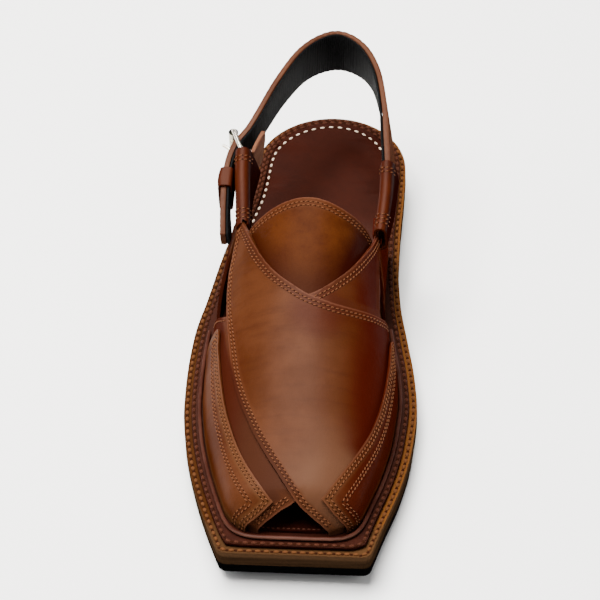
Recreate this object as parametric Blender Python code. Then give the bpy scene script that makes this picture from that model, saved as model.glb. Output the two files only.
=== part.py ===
"""A right-foot peshawari chappal: two crossed vamp panels on a welted sole, and a buckled heel strap.

The toe points to -Y, the heel to +Y and the wearer's outer (lateral) side to -X. The origin lies on the floor
under the middle of the shoe. Tables and sizes are in millimetres, and MM turns them into metres.
"""

import math

import bmesh
import bpy
import numpy as np
from mathutils.geometry import delaunay_2d_cdt

MM = 0.001
GAP = 0.3                       # clearance between pieces that touch

# Driving sizes
LENGTH = 290.5
AXIS_X = 5.0                    # the middle of heel and toe, measured from the middle of the ball
TOE_Y = -LENGTH / 2
HEEL_Y = LENGTH / 2
HEEL_RADIUS = 38.3
HEEL_CENTRE_Y = HEEL_Y - HEEL_RADIUS

OUTSOLE_THICK = 5.5
MIDSOLE_THICK = 8.2
WELT_THICK = 2.0
INSOLE_THICK = 3.0
HEEL_LIFT = 7.5                 # how far the low heel raises the seat
HEEL_BREAST_Y = 74.0
TOE_SPRING = 7.0
SPRING_START_Y = -60.0

# Half outline of the sole on each side of the shoe, up to where the round heel begins
OUTLINE = [
    # y, lateral x, medial x
    (TOE_Y, -30.5, 38.5),
    (-122.0, -39.3, 44.0),
    (-98.0, -47.0, 50.4),
    (-74.0, -52.6, 54.4),
    (-50.0, -55.4, 55.8),
    (-30.0, -55.8, 53.9),
    (-5.0, -54.6, 49.3),
    (20.0, -50.2, 44.6),
    (45.0, -45.0, 42.6),
    (65.0, -39.8, 42.6),
    (85.0, -35.2, 43.2),
    (HEEL_CENTRE_Y, AXIS_X - HEEL_RADIUS, AXIS_X + HEEL_RADIUS),
]

# How far the margin, the welt and the inner wall of the upper stand in from the sole's edge
INSETS = [
    # y, welt edge, roll, last
    (TOE_Y, 3.7, 7.75, 12.6),
    (-20.0, 3.7, 7.75, 12.6),
    (20.0, 3.2, 6.6, 9.0),
    (45.0, 2.8, 5.2, 6.8),
    (HEEL_Y, 2.8, 5.0, 6.4),
]

# The last, inside the vamp: height of its ridge and how square each side of its section is (1 is an ellipse)
LAST = [
    # y, ridge z, lateral squareness, medial squareness
    (TOE_Y, 35.0, 0.50, 0.50),
    (-121.0, 39.5, 0.55, 0.55),
    (-100.0, 43.5, 0.65, 0.62),
    (-75.0, 50.0, 0.75, 0.70),
    (-50.0, 57.5, 0.82, 0.74),
    (-28.0, 66.0, 0.90, 0.74),
    (0.0, 78.5, 0.98, 0.66),
    (20.0, 87.0, 1.00, 0.60),
    (50.0, 94.0, 1.00, 0.60),
]
TOE_ROUND = 14.0                # length over which the last drops to the sole at its toe
TOE_STRETCH = 22.0              # mean radius of that drop, for even triangles
LAST_CORNER = 12.0              # how far the last's toe corners are rounded


def table_curve(rows, column):
    """A smooth monotone curve of one column against the first."""
    xs = np.array([row[0] for row in rows], float)
    ys = np.array([row[column] for row in rows], float)
    steps = np.diff(xs)
    slopes = np.diff(ys) / steps
    tangents = np.zeros(len(xs))
    for i in range(1, len(xs) - 1):
        if slopes[i - 1] * slopes[i] > 0:
            before = 2 * steps[i] + steps[i - 1]
            after = steps[i] + 2 * steps[i - 1]
            tangents[i] = (before + after) / (before / slopes[i - 1] + after / slopes[i])
    tangents[0] = slopes[0]
    tangents[-1] = slopes[-1]

    def value(x):
        x = np.clip(np.asarray(x, float), xs[0], xs[-1])
        i = np.clip(np.searchsorted(xs, x, side="right") - 1, 0, len(steps) - 1)
        t = (x - xs[i]) / steps[i]
        return (
            ys[i] * (1 + 2 * t) * (1 - t) ** 2
            + tangents[i] * steps[i] * t * (1 - t) ** 2
            + ys[i + 1] * t * t * (3 - 2 * t)
            - tangents[i + 1] * steps[i] * t * t * (1 - t)
        )

    return value


def smoothstep(start, end, x):
    t = np.clip((np.asarray(x, float) - start) / (end - start), 0, 1)
    return t * t * (3 - 2 * t)


sole_lateral = table_curve(OUTLINE, 1)
sole_medial = table_curve(OUTLINE, 2)
welt_inset = table_curve(INSETS, 1)
roll_inset = table_curve(INSETS, 2)
last_inset = table_curve(INSETS, 3)
ridge_z = table_curve(LAST, 1)
lateral_squareness = table_curve(LAST, 2)
medial_squareness = table_curve(LAST, 3)


def rise(y):
    """Height of the outsole's underside over the floor: toe spring, flat forefoot, then up over the heel."""
    ahead = np.clip(SPRING_START_Y - np.asarray(y, float), 0, None)
    spring = TOE_SPRING * (ahead / (SPRING_START_Y - TOE_Y)) ** 2
    return spring + HEEL_LIFT * smoothstep(10.0, 70.0, y)


def midsole_under(y):
    return rise(y) + OUTSOLE_THICK + GAP


def midsole_top(y):
    return midsole_under(y) + MIDSOLE_THICK


def welt_top(y):
    return midsole_top(y) + GAP + WELT_THICK


def feather_z(y):
    """Level of the upper's lower edge."""
    return welt_top(y) + GAP


def last_sides(y):
    """x of the last's lateral and medial feather edges."""
    slope_lateral = (sole_lateral(np.asarray(y) + 1.0) - sole_lateral(np.asarray(y) - 1.0)) / 2
    slope_medial = (sole_medial(np.asarray(y) + 1.0) - sole_medial(np.asarray(y) - 1.0)) / 2
    corner = np.clip((LAST_TOE_Y + LAST_CORNER - np.asarray(y)) / LAST_CORNER, 0, 1)
    cut = LAST_CORNER * (1 - np.sqrt(1 - corner**2))
    lateral = sole_lateral(y) + last_inset(y) * np.sqrt(1 + slope_lateral**2) + cut
    medial = sole_medial(y) - last_inset(y) * np.sqrt(1 + slope_medial**2) - cut
    return lateral, medial


LAST_TOE_Y = TOE_Y + INSETS[0][3]
TOE_DROP_Y = LAST_TOE_Y + TOE_ROUND


def last_point(angle, y):
    """Point of the last at an angle (-90 lateral feather, 0 ridge, 90 medial feather) and a station y."""
    angle = np.radians(np.clip(np.asarray(angle, float), -90, 90))
    y = np.clip(np.asarray(y, float), LAST_TOE_Y, None)
    lateral, medial = last_sides(y)
    reach = np.where(angle < 0, AXIS_X - lateral, medial - AXIS_X)
    toe = np.clip((TOE_DROP_Y - y) / TOE_ROUND, 0, 1)
    height = (ridge_z(y) - feather_z(y)) * np.sqrt(1 - toe**2)
    x = AXIS_X + reach * np.sin(angle)
    squareness = np.where(angle < 0, lateral_squareness(y), medial_squareness(y))
    z = feather_z(y) + height * np.clip(np.cos(angle), 0, 1) ** squareness
    return np.stack([x, y, z], axis=-1)


def last_normal(angle, y):
    """Outward unit normal of the last."""
    angle = np.clip(np.asarray(angle, float), -89.0, 89.0)
    y = np.clip(np.asarray(y, float), LAST_TOE_Y + 0.35, None)
    across = last_point(angle + 0.5, y) - last_point(angle - 0.5, y)
    along = last_point(angle, y + 0.3) - last_point(angle, y - 0.3)
    normal = np.cross(across, along)
    return normal / np.linalg.norm(normal, axis=-1, keepdims=True)


def form_point(angle, y, offset):
    """Point on the form that lies at an offset outside the last, and never below the welt."""
    point = last_point(angle, y) + last_normal(angle, y) * np.asarray(offset)[..., None]
    point[..., 2] = np.maximum(point[..., 2], feather_z(point[..., 1]))
    return point


# ---------------------------------------------------------------- panels laid on the last

GIRTH = 0.72                    # millimetres of girth for each degree of the section, on average
WALL = 1.7                      # leather of each vamp panel
OVER_STEP = 1.3                 # how far the over panel is lifted where it crosses the under panel

# Edges are rows of (angle, y) on the last. Each panel starts at its anchor under a side loop.
OVER_UPPER_EDGE = [
    (-53.0, 31.0), (-47.0, 21.5), (-38.5, 9.5), (-30.5, -2.5), (-24.0, -10.5), (-18.0, -16.0),
    (-11.5, -20.5), (-2.0, -26.0), (6.0, -28.0), (16.0, -29.5), (26.0, -29.5), (36.5, -28.5),
    (47.0, -26.5), (57.0, -24.0), (72.0, -18.5), (90.0, -12.0),
]
OVER_LOWER_EDGE = [
    (-57.0, 31.0), (-51.8, 21.0), (-52.0, 11.5), (-53.7, 0.5), (-54.5, -8.0), (-53.7, -18.0),
    (-50.5, -33.0), (-47.8, -45.0), (-44.3, -63.0), (-40.5, -75.0), (-36.5, -84.5), (-33.0, -92.0),
    (-28.5, -99.5), (-23.0, -107.5), (-17.5, -114.0), (-10.5, -120.7), (-2.5, -125.5), (3.0, -127.4),
    (9.5, -128.7), (28.0, -130.8), (56.0, -132.0), (90.0, -132.4),
]
UNDER_UPPER_EDGE = [
    (67.0, 31.0), (64.5, 22.0), (58.0, 13.0), (46.5, 2.5), (37.0, -5.5), (28.0, -12.0), (15.0, -19.5),
    (0.5, -25.5), (-22.0, -29.8), (-38.0, -28.5), (-55.5, -23.5), (-66.5, -17.0), (-81.0, -8.5),
    (-90.0, -6.0),
]
UNDER_LOWER_EDGE = [
    (71.0, 31.0), (69.0, 19.0), (67.0, 4.0), (64.0, -14.5), (60.0, -31.5), (51.0, -54.0), (38.0, -82.0),
    (22.0, -107.0), (14.0, -115.5), (5.5, -122.0), (-2.0, -126.0), (-10.0, -127.7), (-17.0, -128.7),
    (-24.5, -129.7), (-34.5, -130.7), (-58.5, -131.9), (-90.0, -132.4),
]
QUARTER_TUCK = 1.3              # how far the medial quarter's top lies inside the last
QUARTER_LATERAL_OFFSETS = (0.1, 1.8)
QUARTER_LATERAL_FRONT = [
    (-56.0, 22.0), (-66.0, 17.0), (-76.0, 9.0), (-90.0, 1.0),
]
QUARTER_LATERAL_BACK = [
    (-56.0, 33.0), (-68.0, 37.0), (-79.0, 42.0), (-90.0, 46.0),
]
QUARTER_MEDIAL_FRONT = [
    (64.5, 22.5), (71.5, 18.5), (79.0, 11.0), (90.0, 4.0),
]
QUARTER_MEDIAL_BACK = [
    (64.5, 32.0), (72.0, 36.5), (80.0, 42.0), (90.0, 46.0),
]
TONGUE_TOP = [
    (-62.0, 14.0), (-46.0, 17.5), (-26.0, 19.6), (-8.0, 20.2), (10.0, 18.6), (27.0, 17.2), (42.0, 17.2),
    (56.0, 17.6), (64.0, 17.2),
]
TONGUE_FOOT = [
    (-58.0, -6.0), (-40.0, -24.0), (-16.0, -39.0), (2.0, -42.0), (20.0, -38.0), (40.0, -22.0),
    (63.0, -4.0),
]
WING_LATERAL_EDGE = [
    (-90.0, -29.0), (-70.0, -28.0), (-60.0, -28.5), (-58.5, -39.5), (-56.0, -51.0), (-54.5, -61.5),
    (-52.8, -72.5), (-50.7, -82.0), (-49.0, -89.0), (-46.0, -98.5), (-41.5, -108.0), (-36.0, -115.7),
    (-30.0, -121.2), (-25.0, -124.6), (-22.0, -126.0),
]
WING_LATERAL_TOE = [
    (-22.0, -126.0), (-30.5, -127.7), (-39.5, -128.9), (-51.5, -129.9), (-66.5, -130.4),
    (-90.0, -130.6),
]
WING_MEDIAL_EDGE = [
    (90.0, -27.0), (78.0, -26.5), (69.5, -29.5), (65.5, -36.0), (62.0, -49.0), (59.5, -67.0),
    (54.7, -85.0), (50.5, -94.5), (45.0, -103.5), (39.0, -112.5), (32.0, -120.0), (28.0, -122.9),
    (24.5, -124.6),
]
WING_MEDIAL_TOE = [
    (24.5, -124.6), (32.5, -126.2), (42.0, -127.7), (53.0, -128.7), (67.0, -129.4), (90.0, -129.4),
]


def through(points, spacing):
    """A smooth curve through the points, resampled about every spacing."""
    points = np.array(points, float)
    if len(points) == 1:
        return points
    padded = np.vstack([2 * points[0] - points[1], points, 2 * points[-1] - points[-2]])
    samples = [points[0]]
    for i in range(len(points) - 1):
        before, start, end, after = padded[i : i + 4]
        count = max(2, math.ceil(np.linalg.norm(end - start) / spacing))
        for step in range(1, count + 1):
            t = step / count
            samples.append(
                0.5
                * (
                    2 * start
                    + (end - before) * t
                    + (2 * before - 5 * start + 4 * end - after) * t**2
                    + (3 * start - before - 3 * end + after) * t**3
                )
            )
    return np.array(samples)


def unrolled(y):
    """Length along the last at a station y. It runs on faster where the toe drops to the sole."""
    drop = np.clip((TOE_DROP_Y - np.asarray(y, float)) / TOE_ROUND, 0, 1)
    return np.where(drop > 0, TOE_DROP_Y - TOE_STRETCH * np.arcsin(drop), y)


def station(length):
    """The y at a length along the last."""
    turn = np.clip((TOE_DROP_Y - length) / TOE_STRETCH, 0, math.pi / 2)
    return np.where(turn > 0, TOE_DROP_Y - TOE_ROUND * np.sin(turn), length)


def girth(points):
    """Rows of (angle, y) as millimetres on the flat pattern."""
    return [(angle * GIRTH, float(unrolled(y))) for angle, y in points]


def straight(start, end, spacing):
    """Points from start towards end, without either."""
    start, end = np.array(start, float), np.array(end, float)
    count = max(1, round(np.linalg.norm(end - start) / spacing))
    return np.array([start + (end - start) * i / count for i in range(1, count)]).reshape(-1, 2)


def pattern(*runs, spacing):
    """A closed flat pattern: smooth runs of (angle, y) joined end to end by straight lines."""
    curves = [through(girth(run), spacing) for run in runs]
    outline = []
    for curve, following in zip(curves, curves[1:] + curves[:1]):
        outline.extend(curve)
        if np.linalg.norm(curve[-1] - following[0]) < 0.2:
            outline.pop()
        else:
            outline.extend(straight(curve[-1], following[0], spacing))
    outline = np.array(outline)
    following = np.roll(outline, -1, axis=0)
    area = (outline[:, 0] * following[:, 1] - following[:, 0] * outline[:, 1]).sum()
    return outline if area > 0 else outline[::-1]


# ---------------------------------------------------------------- building meshes


def new_object(name, points, faces, material=None):
    mesh = bpy.data.meshes.new(name)
    mesh.from_pydata([tuple(point) for point in np.asarray(points) * MM], [], faces)
    mesh.validate()
    obj = bpy.data.objects.new(name, mesh)
    bpy.context.scene.collection.objects.link(obj)
    if material:
        mesh.materials.append(material)
    mesh.shade_smooth()
    mesh.set_sharp_from_angle(angle=math.radians(35))
    return obj


def inside(points, outline):
    """Which points lie inside the closed outline."""
    x, y = points[:, 0:1], points[:, 1:2]
    x1, y1 = outline[:, 0], outline[:, 1]
    x2, y2 = np.roll(x1, -1), np.roll(y1, -1)
    level = np.where(y2 == y1, 1.0, y2 - y1)
    crosses = ((y1 > y) != (y2 > y)) & (x < (x2 - x1) * (y - y1) / level + x1)
    return crosses.sum(axis=1) % 2 == 1


def filling(outline, spacing):
    """A staggered grid of points inside the outline, clear of its edge."""
    low, high = outline.min(axis=0), outline.max(axis=0)
    rows = np.arange(low[1] + spacing / 2, high[1], spacing * 0.87)
    points = [
        (x, y)
        for i, y in enumerate(rows)
        for x in np.arange(low[0] + spacing * (0.25 + 0.5 * (i % 2)), high[0], spacing)
    ]
    points = np.array(points).reshape(-1, 2)
    clear = np.linalg.norm(points[:, None] - outline[None], axis=2).min(axis=1) > spacing * 0.6
    return points[inside(points, outline) & clear]


def sheet(name, outline, spacing, under, over, material=None):
    """A closed sheet over a flat outline. under and over turn flat points into its two faces."""
    flat = np.vstack([outline, filling(outline, spacing)])
    border = list(range(len(outline)))
    found = delaunay_2d_cdt([tuple(point) for point in flat], [], [border], 1, 1e-6)
    flat = np.array([tuple(point) for point in found[0]])
    triangles = [tuple(face) for face in found[2]]
    count = len(flat)
    edges = {}
    for a, b, c in triangles:
        for start, end in ((a, b), (b, c), (c, a)):
            edges[(start, end)] = True
    rim = [(start, end) for start, end in edges if (end, start) not in edges]
    faces = [(a + count, b + count, c + count) for a, b, c in triangles]
    faces += [(c, b, a) for a, b, c in triangles]
    faces += [(start, end, end + count, start + count) for start, end in rim]
    return new_object(name, np.vstack([under(flat), over(flat)]), faces, material)


def on_last(low, high):
    """The two faces of a sheet on the last, at these offsets or at functions of the angle."""

    def face(offset):
        def at(flat):
            angle = flat[:, 0] / GIRTH
            y = station(flat[:, 1])
            return form_point(angle, y, offset(angle, y) if callable(offset) else np.full(len(flat), offset))

        return at

    return face(low), face(high)


def over_lift(angle, y):
    """The over panel steps up across the under panel and comes down to the welt at its own side and toe."""
    return OVER_STEP * (1 - smoothstep(70.0, 86.0, angle)) * smoothstep(LAST_TOE_Y, LAST_TOE_Y + 8.0, y)


def over_outer(angle, y):
    return over_lift(angle, y) + WALL + 0.2


def under_outer(angle, y):
    return np.full(np.shape(angle), WALL)


def quarter_medial_inner(angle, y):
    """The medial quarter runs up inside the panels and comes out to their line at the welt."""
    return QUARTER_TUCK * smoothstep(66.0, 82.0, angle) - QUARTER_TUCK


def quarter_medial_outer(angle, y):
    return quarter_medial_inner(angle, y) + WALL


def clear_of(offset, clearance):
    """The same offset moved by a clearance."""
    if callable(offset):
        return lambda angle, y: offset(angle, y) + clearance
    return offset + clearance


def loft(name, sections, material=None):
    """A closed solid through rings of equal point counts."""
    sections = np.array(sections, float)
    rings, around = sections.shape[:2]
    faces = []
    for i in range(rings - 1):
        for j in range(around):
            k = (j + 1) % around
            faces.append((i * around + j, i * around + k, (i + 1) * around + k, (i + 1) * around + j))
    faces.append(tuple(range(around))[::-1])
    faces.append(tuple((rings - 1) * around + j for j in range(around)))
    obj = new_object(name, sections.reshape(-1, 3), faces, material)
    face_outward(obj)
    return obj


def face_outward(obj):
    shape = bmesh.new()
    shape.from_mesh(obj.data)
    bmesh.ops.recalc_face_normals(shape, faces=shape.faces)
    if shape.calc_volume(signed=True) < 0:
        bmesh.ops.reverse_faces(shape, faces=shape.faces)
    shape.to_mesh(obj.data)
    shape.free()


def helper(obj):
    """A cutter or a piece to be joined, which is not a part of its own."""
    obj.hide_render = True
    obj.display_type = "WIRE"
    return obj


def combine(obj, other, operation):
    modifier = obj.modifiers.new(f"{operation.title()} {other.name}", "BOOLEAN")
    modifier.operation = operation
    modifier.object = helper(other)


# ---------------------------------------------------------------- materials


def leather(name, color, roughness):
    material = bpy.data.materials.new(name)
    material.use_nodes = True
    shader = material.node_tree.nodes["Principled BSDF"]
    shader.inputs["Base Color"].default_value = (*color, 1.0)
    shader.inputs["Roughness"].default_value = roughness
    material.diffuse_color = (*color, 1.0)
    return material


def metal(name, color, roughness):
    material = leather(name, color, roughness)
    material.node_tree.nodes["Principled BSDF"].inputs["Metallic"].default_value = 1.0
    return material


# ---------------------------------------------------------------- sole


def sole_outline(inset, corner, spacing=6.0):
    """The sole's outline moved in by an inset, a number or a function of y, with its toe corners rounded."""
    reach = inset if callable(inset) else (lambda y: np.full(np.shape(y), float(inset)))
    front = TOE_Y + float(reach(TOE_Y))
    ys = np.linspace(front, HEEL_CENTRE_Y, max(12, round((HEEL_CENTRE_Y - front) / spacing)))

    def side(curve, sign):
        slope = (curve(ys + 1.0) - curve(ys - 1.0)) / 2
        return np.stack([curve(ys) + sign * reach(ys) * np.sqrt(1 + slope**2), ys], axis=1)

    medial = side(sole_medial, -1)
    lateral = side(sole_lateral, 1)
    radius = HEEL_RADIUS - float(reach(HEEL_Y))
    turns = np.radians(np.linspace(0, 180, max(10, round(math.pi * radius / spacing))))[1:-1]
    heel = np.stack([AXIS_X + radius * np.cos(turns), HEEL_CENTRE_Y + radius * np.sin(turns)], axis=1)
    medial_corner, rest_medial = rounded_corner(medial, lateral[0], corner)
    lateral_corner, rest_lateral = rounded_corner(lateral, medial[0], corner)
    front_line = straight(lateral_corner[0], medial_corner[0], spacing * 1.6)
    return np.vstack([front_line, medial_corner, rest_medial, heel, rest_lateral[::-1], lateral_corner[::-1]])


def rounded_corner(side, other, corner):
    """The round corner at the start of a side, and the rest of that side."""
    tip = side[0]
    lengths = np.concatenate([[0], np.cumsum(np.linalg.norm(np.diff(side, axis=0), axis=1))])
    start = tip + (other - tip) / np.linalg.norm(other - tip) * corner
    end = np.array([np.interp(corner, lengths, side[:, 0]), np.interp(corner, lengths, side[:, 1])])
    turns = np.linspace(0, 1, 7)[:, None]
    curve = start * (1 - turns) ** 2 + 2 * tip * turns * (1 - turns) + end * turns**2
    return curve, side[lengths > corner * 1.3]


def slab(name, outline, under, over, material):
    def level(height):
        return lambda flat: np.column_stack([flat, height(flat[:, 1])])

    return sheet(name, outline, 13.0, level(under), level(over), material)


OUTSOLE_INSET = 0.6
TOE_CORNER = 3.6
INSOLE_CORNER = 14.0
HEEL_BREAST_BOW = 4.0           # how far the front of the heel curves back


def make_outsole(material):
    return slab(
        "outsole", sole_outline(OUTSOLE_INSET, TOE_CORNER), rise, lambda y: rise(y) + OUTSOLE_THICK, material
    )


def make_heel(material):
    outline = sole_outline(OUTSOLE_INSET + 0.4, TOE_CORNER)
    outline = outline[outline[:, 1] > HEEL_BREAST_Y]
    start, end = outline[-1], outline[0]
    shares = np.linspace(0, 1, 9)[1:-1]
    breast = start + (end - start) * shares[:, None]
    breast[:, 1] += HEEL_BREAST_BOW * np.sin(np.pi * shares)
    outline = np.vstack([outline, breast])
    return slab("heel", outline, lambda y: np.zeros_like(y), lambda y: rise(y) - GAP, material)


def make_midsole(material):
    return slab("midsole", sole_outline(0.0, TOE_CORNER + 0.5), midsole_under, midsole_top, material)


WELT_CLEAR = 0.5                # between the insole and the welt round it, at the middle of a chord


def insole_inset(y):
    return last_inset(y) + 0.6


def make_insole(material):
    outline = sole_outline(insole_inset, INSOLE_CORNER)
    return slab(
        "insole",
        outline,
        lambda y: midsole_top(y) + GAP,
        lambda y: midsole_top(y) + GAP + INSOLE_THICK,
        material,
    )


def make_welt(material):
    outer = sole_outline(welt_inset, TOE_CORNER)
    inner = sole_outline(lambda y: insole_inset(y) - WELT_CLEAR, INSOLE_CORNER)
    count = min(len(outer), len(inner))
    outer = evenly(outer, count)
    inner = evenly(inner, count)
    rings = []
    for points, height in ((outer, 0.0), (inner, 0.0), (inner, WELT_THICK), (outer, WELT_THICK)):
        rings.append(np.column_stack([points, midsole_top(points[:, 1]) + GAP + height]))
    faces = []
    for i in range(4):
        for j in range(count):
            k = (j + 1) % count
            n = (i + 1) % 4
            faces.append((i * count + j, i * count + k, n * count + k, n * count + j))
    obj = new_object("welt", np.vstack(rings), faces, material)
    face_outward(obj)
    return obj


def evenly(outline, count):
    """The closed outline as this many points, spread evenly from its middle at the toe."""
    middle = np.array([AXIS_X, outline[:, 1].min()])
    first = np.linalg.norm(outline - middle, axis=1).argmin()
    loop = np.roll(outline, -first, axis=0)
    loop = np.vstack([middle, loop[1:], middle])
    lengths = np.concatenate([[0], np.cumsum(np.linalg.norm(np.diff(loop, axis=0), axis=1))])
    at = np.linspace(0, lengths[-1], count, endpoint=False)
    return np.column_stack([np.interp(at, lengths, loop[:, 0]), np.interp(at, lengths, loop[:, 1])])


ROLL_RADIUS = 1.1
ROLL_POINTS = 116
ROLL_END_LATERAL_Y = -2.0
ROLL_END_MEDIAL_Y = 2.0


def make_toe_roll(material):
    """The leather roll over the seam between upper and welt, from the waist round the toe to the waist."""
    outline = evenly(sole_outline(roll_inset, 12.0), ROLL_POINTS)
    half = len(outline) // 2
    medial = outline[:half][outline[:half, 1] < ROLL_END_MEDIAL_Y]
    lateral = outline[half:][outline[half:, 1] < ROLL_END_LATERAL_Y]
    path = np.vstack([lateral, medial])
    path = np.column_stack([path, welt_top(path[:, 1]) + GAP + ROLL_RADIUS])
    return tube("toe_roll", path, ROLL_RADIUS, 6, material)


def tube(name, path, radius, sides, material=None):
    """A round rod along a path, with flat ends."""
    path = np.array(path, float)
    tangents = np.gradient(path, axis=0)
    tangents /= np.linalg.norm(tangents, axis=1, keepdims=True)
    sections = []
    for point, tangent in zip(path, tangents):
        aside = np.cross(tangent, (0.0, 0.0, 1.0))
        if np.linalg.norm(aside) < 0.1:
            aside = np.cross(tangent, (0.0, 1.0, 0.0))
        aside /= np.linalg.norm(aside)
        above = np.cross(aside, tangent)
        turns = np.arange(sides) * 2 * math.pi / sides
        spokes = [aside * math.cos(turn) + above * math.sin(turn) for turn in turns]
        sections.append([point + radius * spoke for spoke in spokes])
    return loft(name, sections, material)


# ---------------------------------------------------------------- upper

PANEL_SPACING = 6.4
WING_SPACING = 6.5
EDGE_SPACING = 3.6
TONGUE_THICK = 1.6
TONGUE_GAP = 0.55
WING_THICK = 1.2
WING_GAP = 0.5


def make_upper(material):
    """Both vamp panels and both quarters, joined where they cross and at the anchors."""
    under = pattern(UNDER_UPPER_EDGE, UNDER_LOWER_EDGE[::-1], spacing=EDGE_SPACING)
    over = pattern(OVER_UPPER_EDGE, OVER_LOWER_EDGE[::-1], spacing=EDGE_SPACING)
    lateral = pattern(QUARTER_LATERAL_FRONT, QUARTER_LATERAL_BACK[::-1], spacing=EDGE_SPACING)
    medial = pattern(QUARTER_MEDIAL_FRONT, QUARTER_MEDIAL_BACK[::-1], spacing=EDGE_SPACING)
    upper = sheet("upper", under, PANEL_SPACING, *on_last(0.0, WALL), material)
    parts = [
        sheet("over_panel", over, PANEL_SPACING, *on_last(over_lift, over_outer)),
        sheet("quarter_lateral", lateral, PANEL_SPACING, *on_last(*QUARTER_LATERAL_OFFSETS)),
        sheet("quarter_medial", medial, PANEL_SPACING, *on_last(quarter_medial_inner, quarter_medial_outer)),
    ]
    for part in parts:
        combine(upper, part, "UNION")
    return upper


def make_tongue(material):
    outline = pattern(TONGUE_TOP, TONGUE_FOOT[::-1], spacing=EDGE_SPACING)
    return sheet("tongue", outline, 6.5, *on_last(-TONGUE_GAP - TONGUE_THICK, -TONGUE_GAP), material)


def make_wing(name, edge, toe, panel_outer, material):
    """A pointed overlay seated on the panel whose outer face is at panel_outer."""
    outline = pattern(edge, toe, spacing=EDGE_SPACING)
    low, high = on_last(clear_of(panel_outer, WING_GAP), clear_of(panel_outer, WING_GAP + WING_THICK))
    return sheet(name, outline, WING_SPACING, low, high, material)


# ---------------------------------------------------------------- side loops and heel strap

POCKET_WALL = 1.0
POCKET_START_Y = 45.0
MOUTH_WALL = 1.2                # leather round the hollow front end of a side loop
MOUTH_DEPTH = 7.5
SLOT_CLEAR = 0.4
SLOT_SPACING = 9.0
SLOT_UNDERCUT = 2.2             # the medial panel leaves its loop through the loop's inner face
SLOT_GROWTH = 1.0               # how far a slot runs past the edge of what enters it
SIDE_LOOPS = {
    # side: rows of x, y, z of the middle, height, thickness, and the lower edge's inner flare and lean
    "lateral": [
        (-30.6, 20.5, 59.6, 15.5, 7.0, 0.0, 0.0),
        (-32.3, 40.0, 64.6, 17.5, 7.6, 0.6, 0.0),
        (-33.2, 50.0, 67.0, 19.4, 7.7, 2.8, 0.0),
        (-33.6, 60.5, 69.4, 21.0, 7.8, 4.8, 0.0),
    ],
    "medial": [
        (35.2, 19.0, 60.0, 14.5, 6.4, 0.0, 0.5),
        (36.8, 38.0, 64.5, 16.0, 7.0, 0.0, 1.5),
        (36.7, 57.0, 68.4, 16.8, 7.4, 0.0, 2.5),
    ],
}
STRAP_LEATHER = 2.7
STRAP_LINING = 1.0
LINING_GAP = 0.4                # wider than the other seats, for the chords of the strap's tight bend
STRAP_THICK = STRAP_LEATHER + LINING_GAP + STRAP_LINING
HEEL_STRAP = [
    # x, y, top z, height, outward lean of the lower edge
    (36.8, 46.0, 72.6, 12.0, 2.0),
    (36.2, 58.0, 75.0, 12.4, 2.5),
    (34.6, 75.0, 78.8, 13.0, 2.6),
    (33.0, 92.0, 82.0, 15.0, 1.4),
    (28.4, 115.0, 84.4, 16.0, 0.3),
    (19.5, 132.0, 85.7, 21.4, 0.0),
    (6.5, 139.0, 86.0, 23.8, 0.0),
    (-8.0, 128.3, 85.5, 21.0, 0.0),
    (-19.0, 106.4, 84.0, 17.6, 0.0),
    (-27.4, 84.2, 81.2, 15.0, 0.0),
    (-32.0, 75.4, 78.0, 12.7, 0.0),
    (-36.4, 69.6, 75.9, 11.6, 0.0),
    (-39.2, 62.5, 74.7, 11.5, 0.0),
    (-40.9, 52.5, 72.2, 13.2, 0.0),
    (-41.2, 40.0, 68.6, 13.6, -0.3),
    (-40.8, 28.0, 64.0, 12.6, -1.4),
    (-40.4, 22.5, 61.4, 10.0, -0.7),
    (-40.3, 19.8, 59.8, 7.0, -0.4),
]
STRAP_SPACING = 4.5
BUCKLE_GUARD = [
    # x, y, top z, height, lean
    (-29.2, 61.3, 75.6, 14.0, 0.0),
    (-27.9, 66.0, 76.3, 17.0, 0.0),
    (-26.3, 71.5, 76.3, 15.0, 0.0),
    (-24.9, 76.5, 75.6, 4.5, 0.0),
]
GUARD_THICK = 1.9
ROLLER_AT = (-39.6, 74.6)
ROLLER_RADIUS = 2.4
BASE_BAR_AT = (-32.9, 57.2)
BUCKLE_WIRE = 1.15
BUCKLE_BEND = 2.0
BUCKLE_TOP_Z = 76.55
BUCKLE_LOW_Z = 61.65
BUCKLE_TILT = 1.5               # how much higher the roller's end stands than the base bar
PRONG_RADIUS = 0.85
PRONG_Z = 69.0
PRONG = [(-34.0, 58.9), (-36.0, 63.4), (-39.2, 67.9), (-42.4, 70.5), (-44.9, 72.5)]
PRONG_HOLE_RADIUS = 1.45
KEEPER_Y = (42.4, 52.2)
KEEPER_WALL = 1.1
KEEPER_CLEAR = 0.4
KEEPER_ROOM = 0.8               # above and below the strap
KEEPER_BULGES = (0.0, 0.6, 0.6, 0.0)
KEEPER_INNER_BEND = 0.9
KEEPER_OUTER_BEND = 2.2


def rounded_section(center, aside, thick, height, flare=0.0, lean=0.0, steps=4):
    """An upright section with fully rounded top and bottom, thick along aside.

    flare widens its lower edge away from aside, and lean shifts that edge along it.
    """
    radius = thick / 2
    reach = max(height / 2 - radius, 0.01)
    turns = np.radians(np.linspace(0, 180, 2 * steps + 1))
    top = [(radius * math.cos(turn), reach + radius * math.sin(turn)) for turn in turns]
    points = []
    for x, z in top + [(-x, -z) for x, z in top]:
        low = float(smoothstep(height / 2, -height / 2, z))
        inner = (radius - x) / thick
        across = x - flare * inner * low + lean * low
        points.append(np.array(center) + np.array(aside) * across + (0.0, 0.0, z))
    return points


def side_vectors(path):
    """Level unit vectors to the left of a path of (x, y) rows."""
    along = np.gradient(path, axis=0)
    along /= np.linalg.norm(along, axis=1, keepdims=True)
    return np.column_stack([-along[:, 1], along[:, 0], np.zeros(len(along))])


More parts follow.
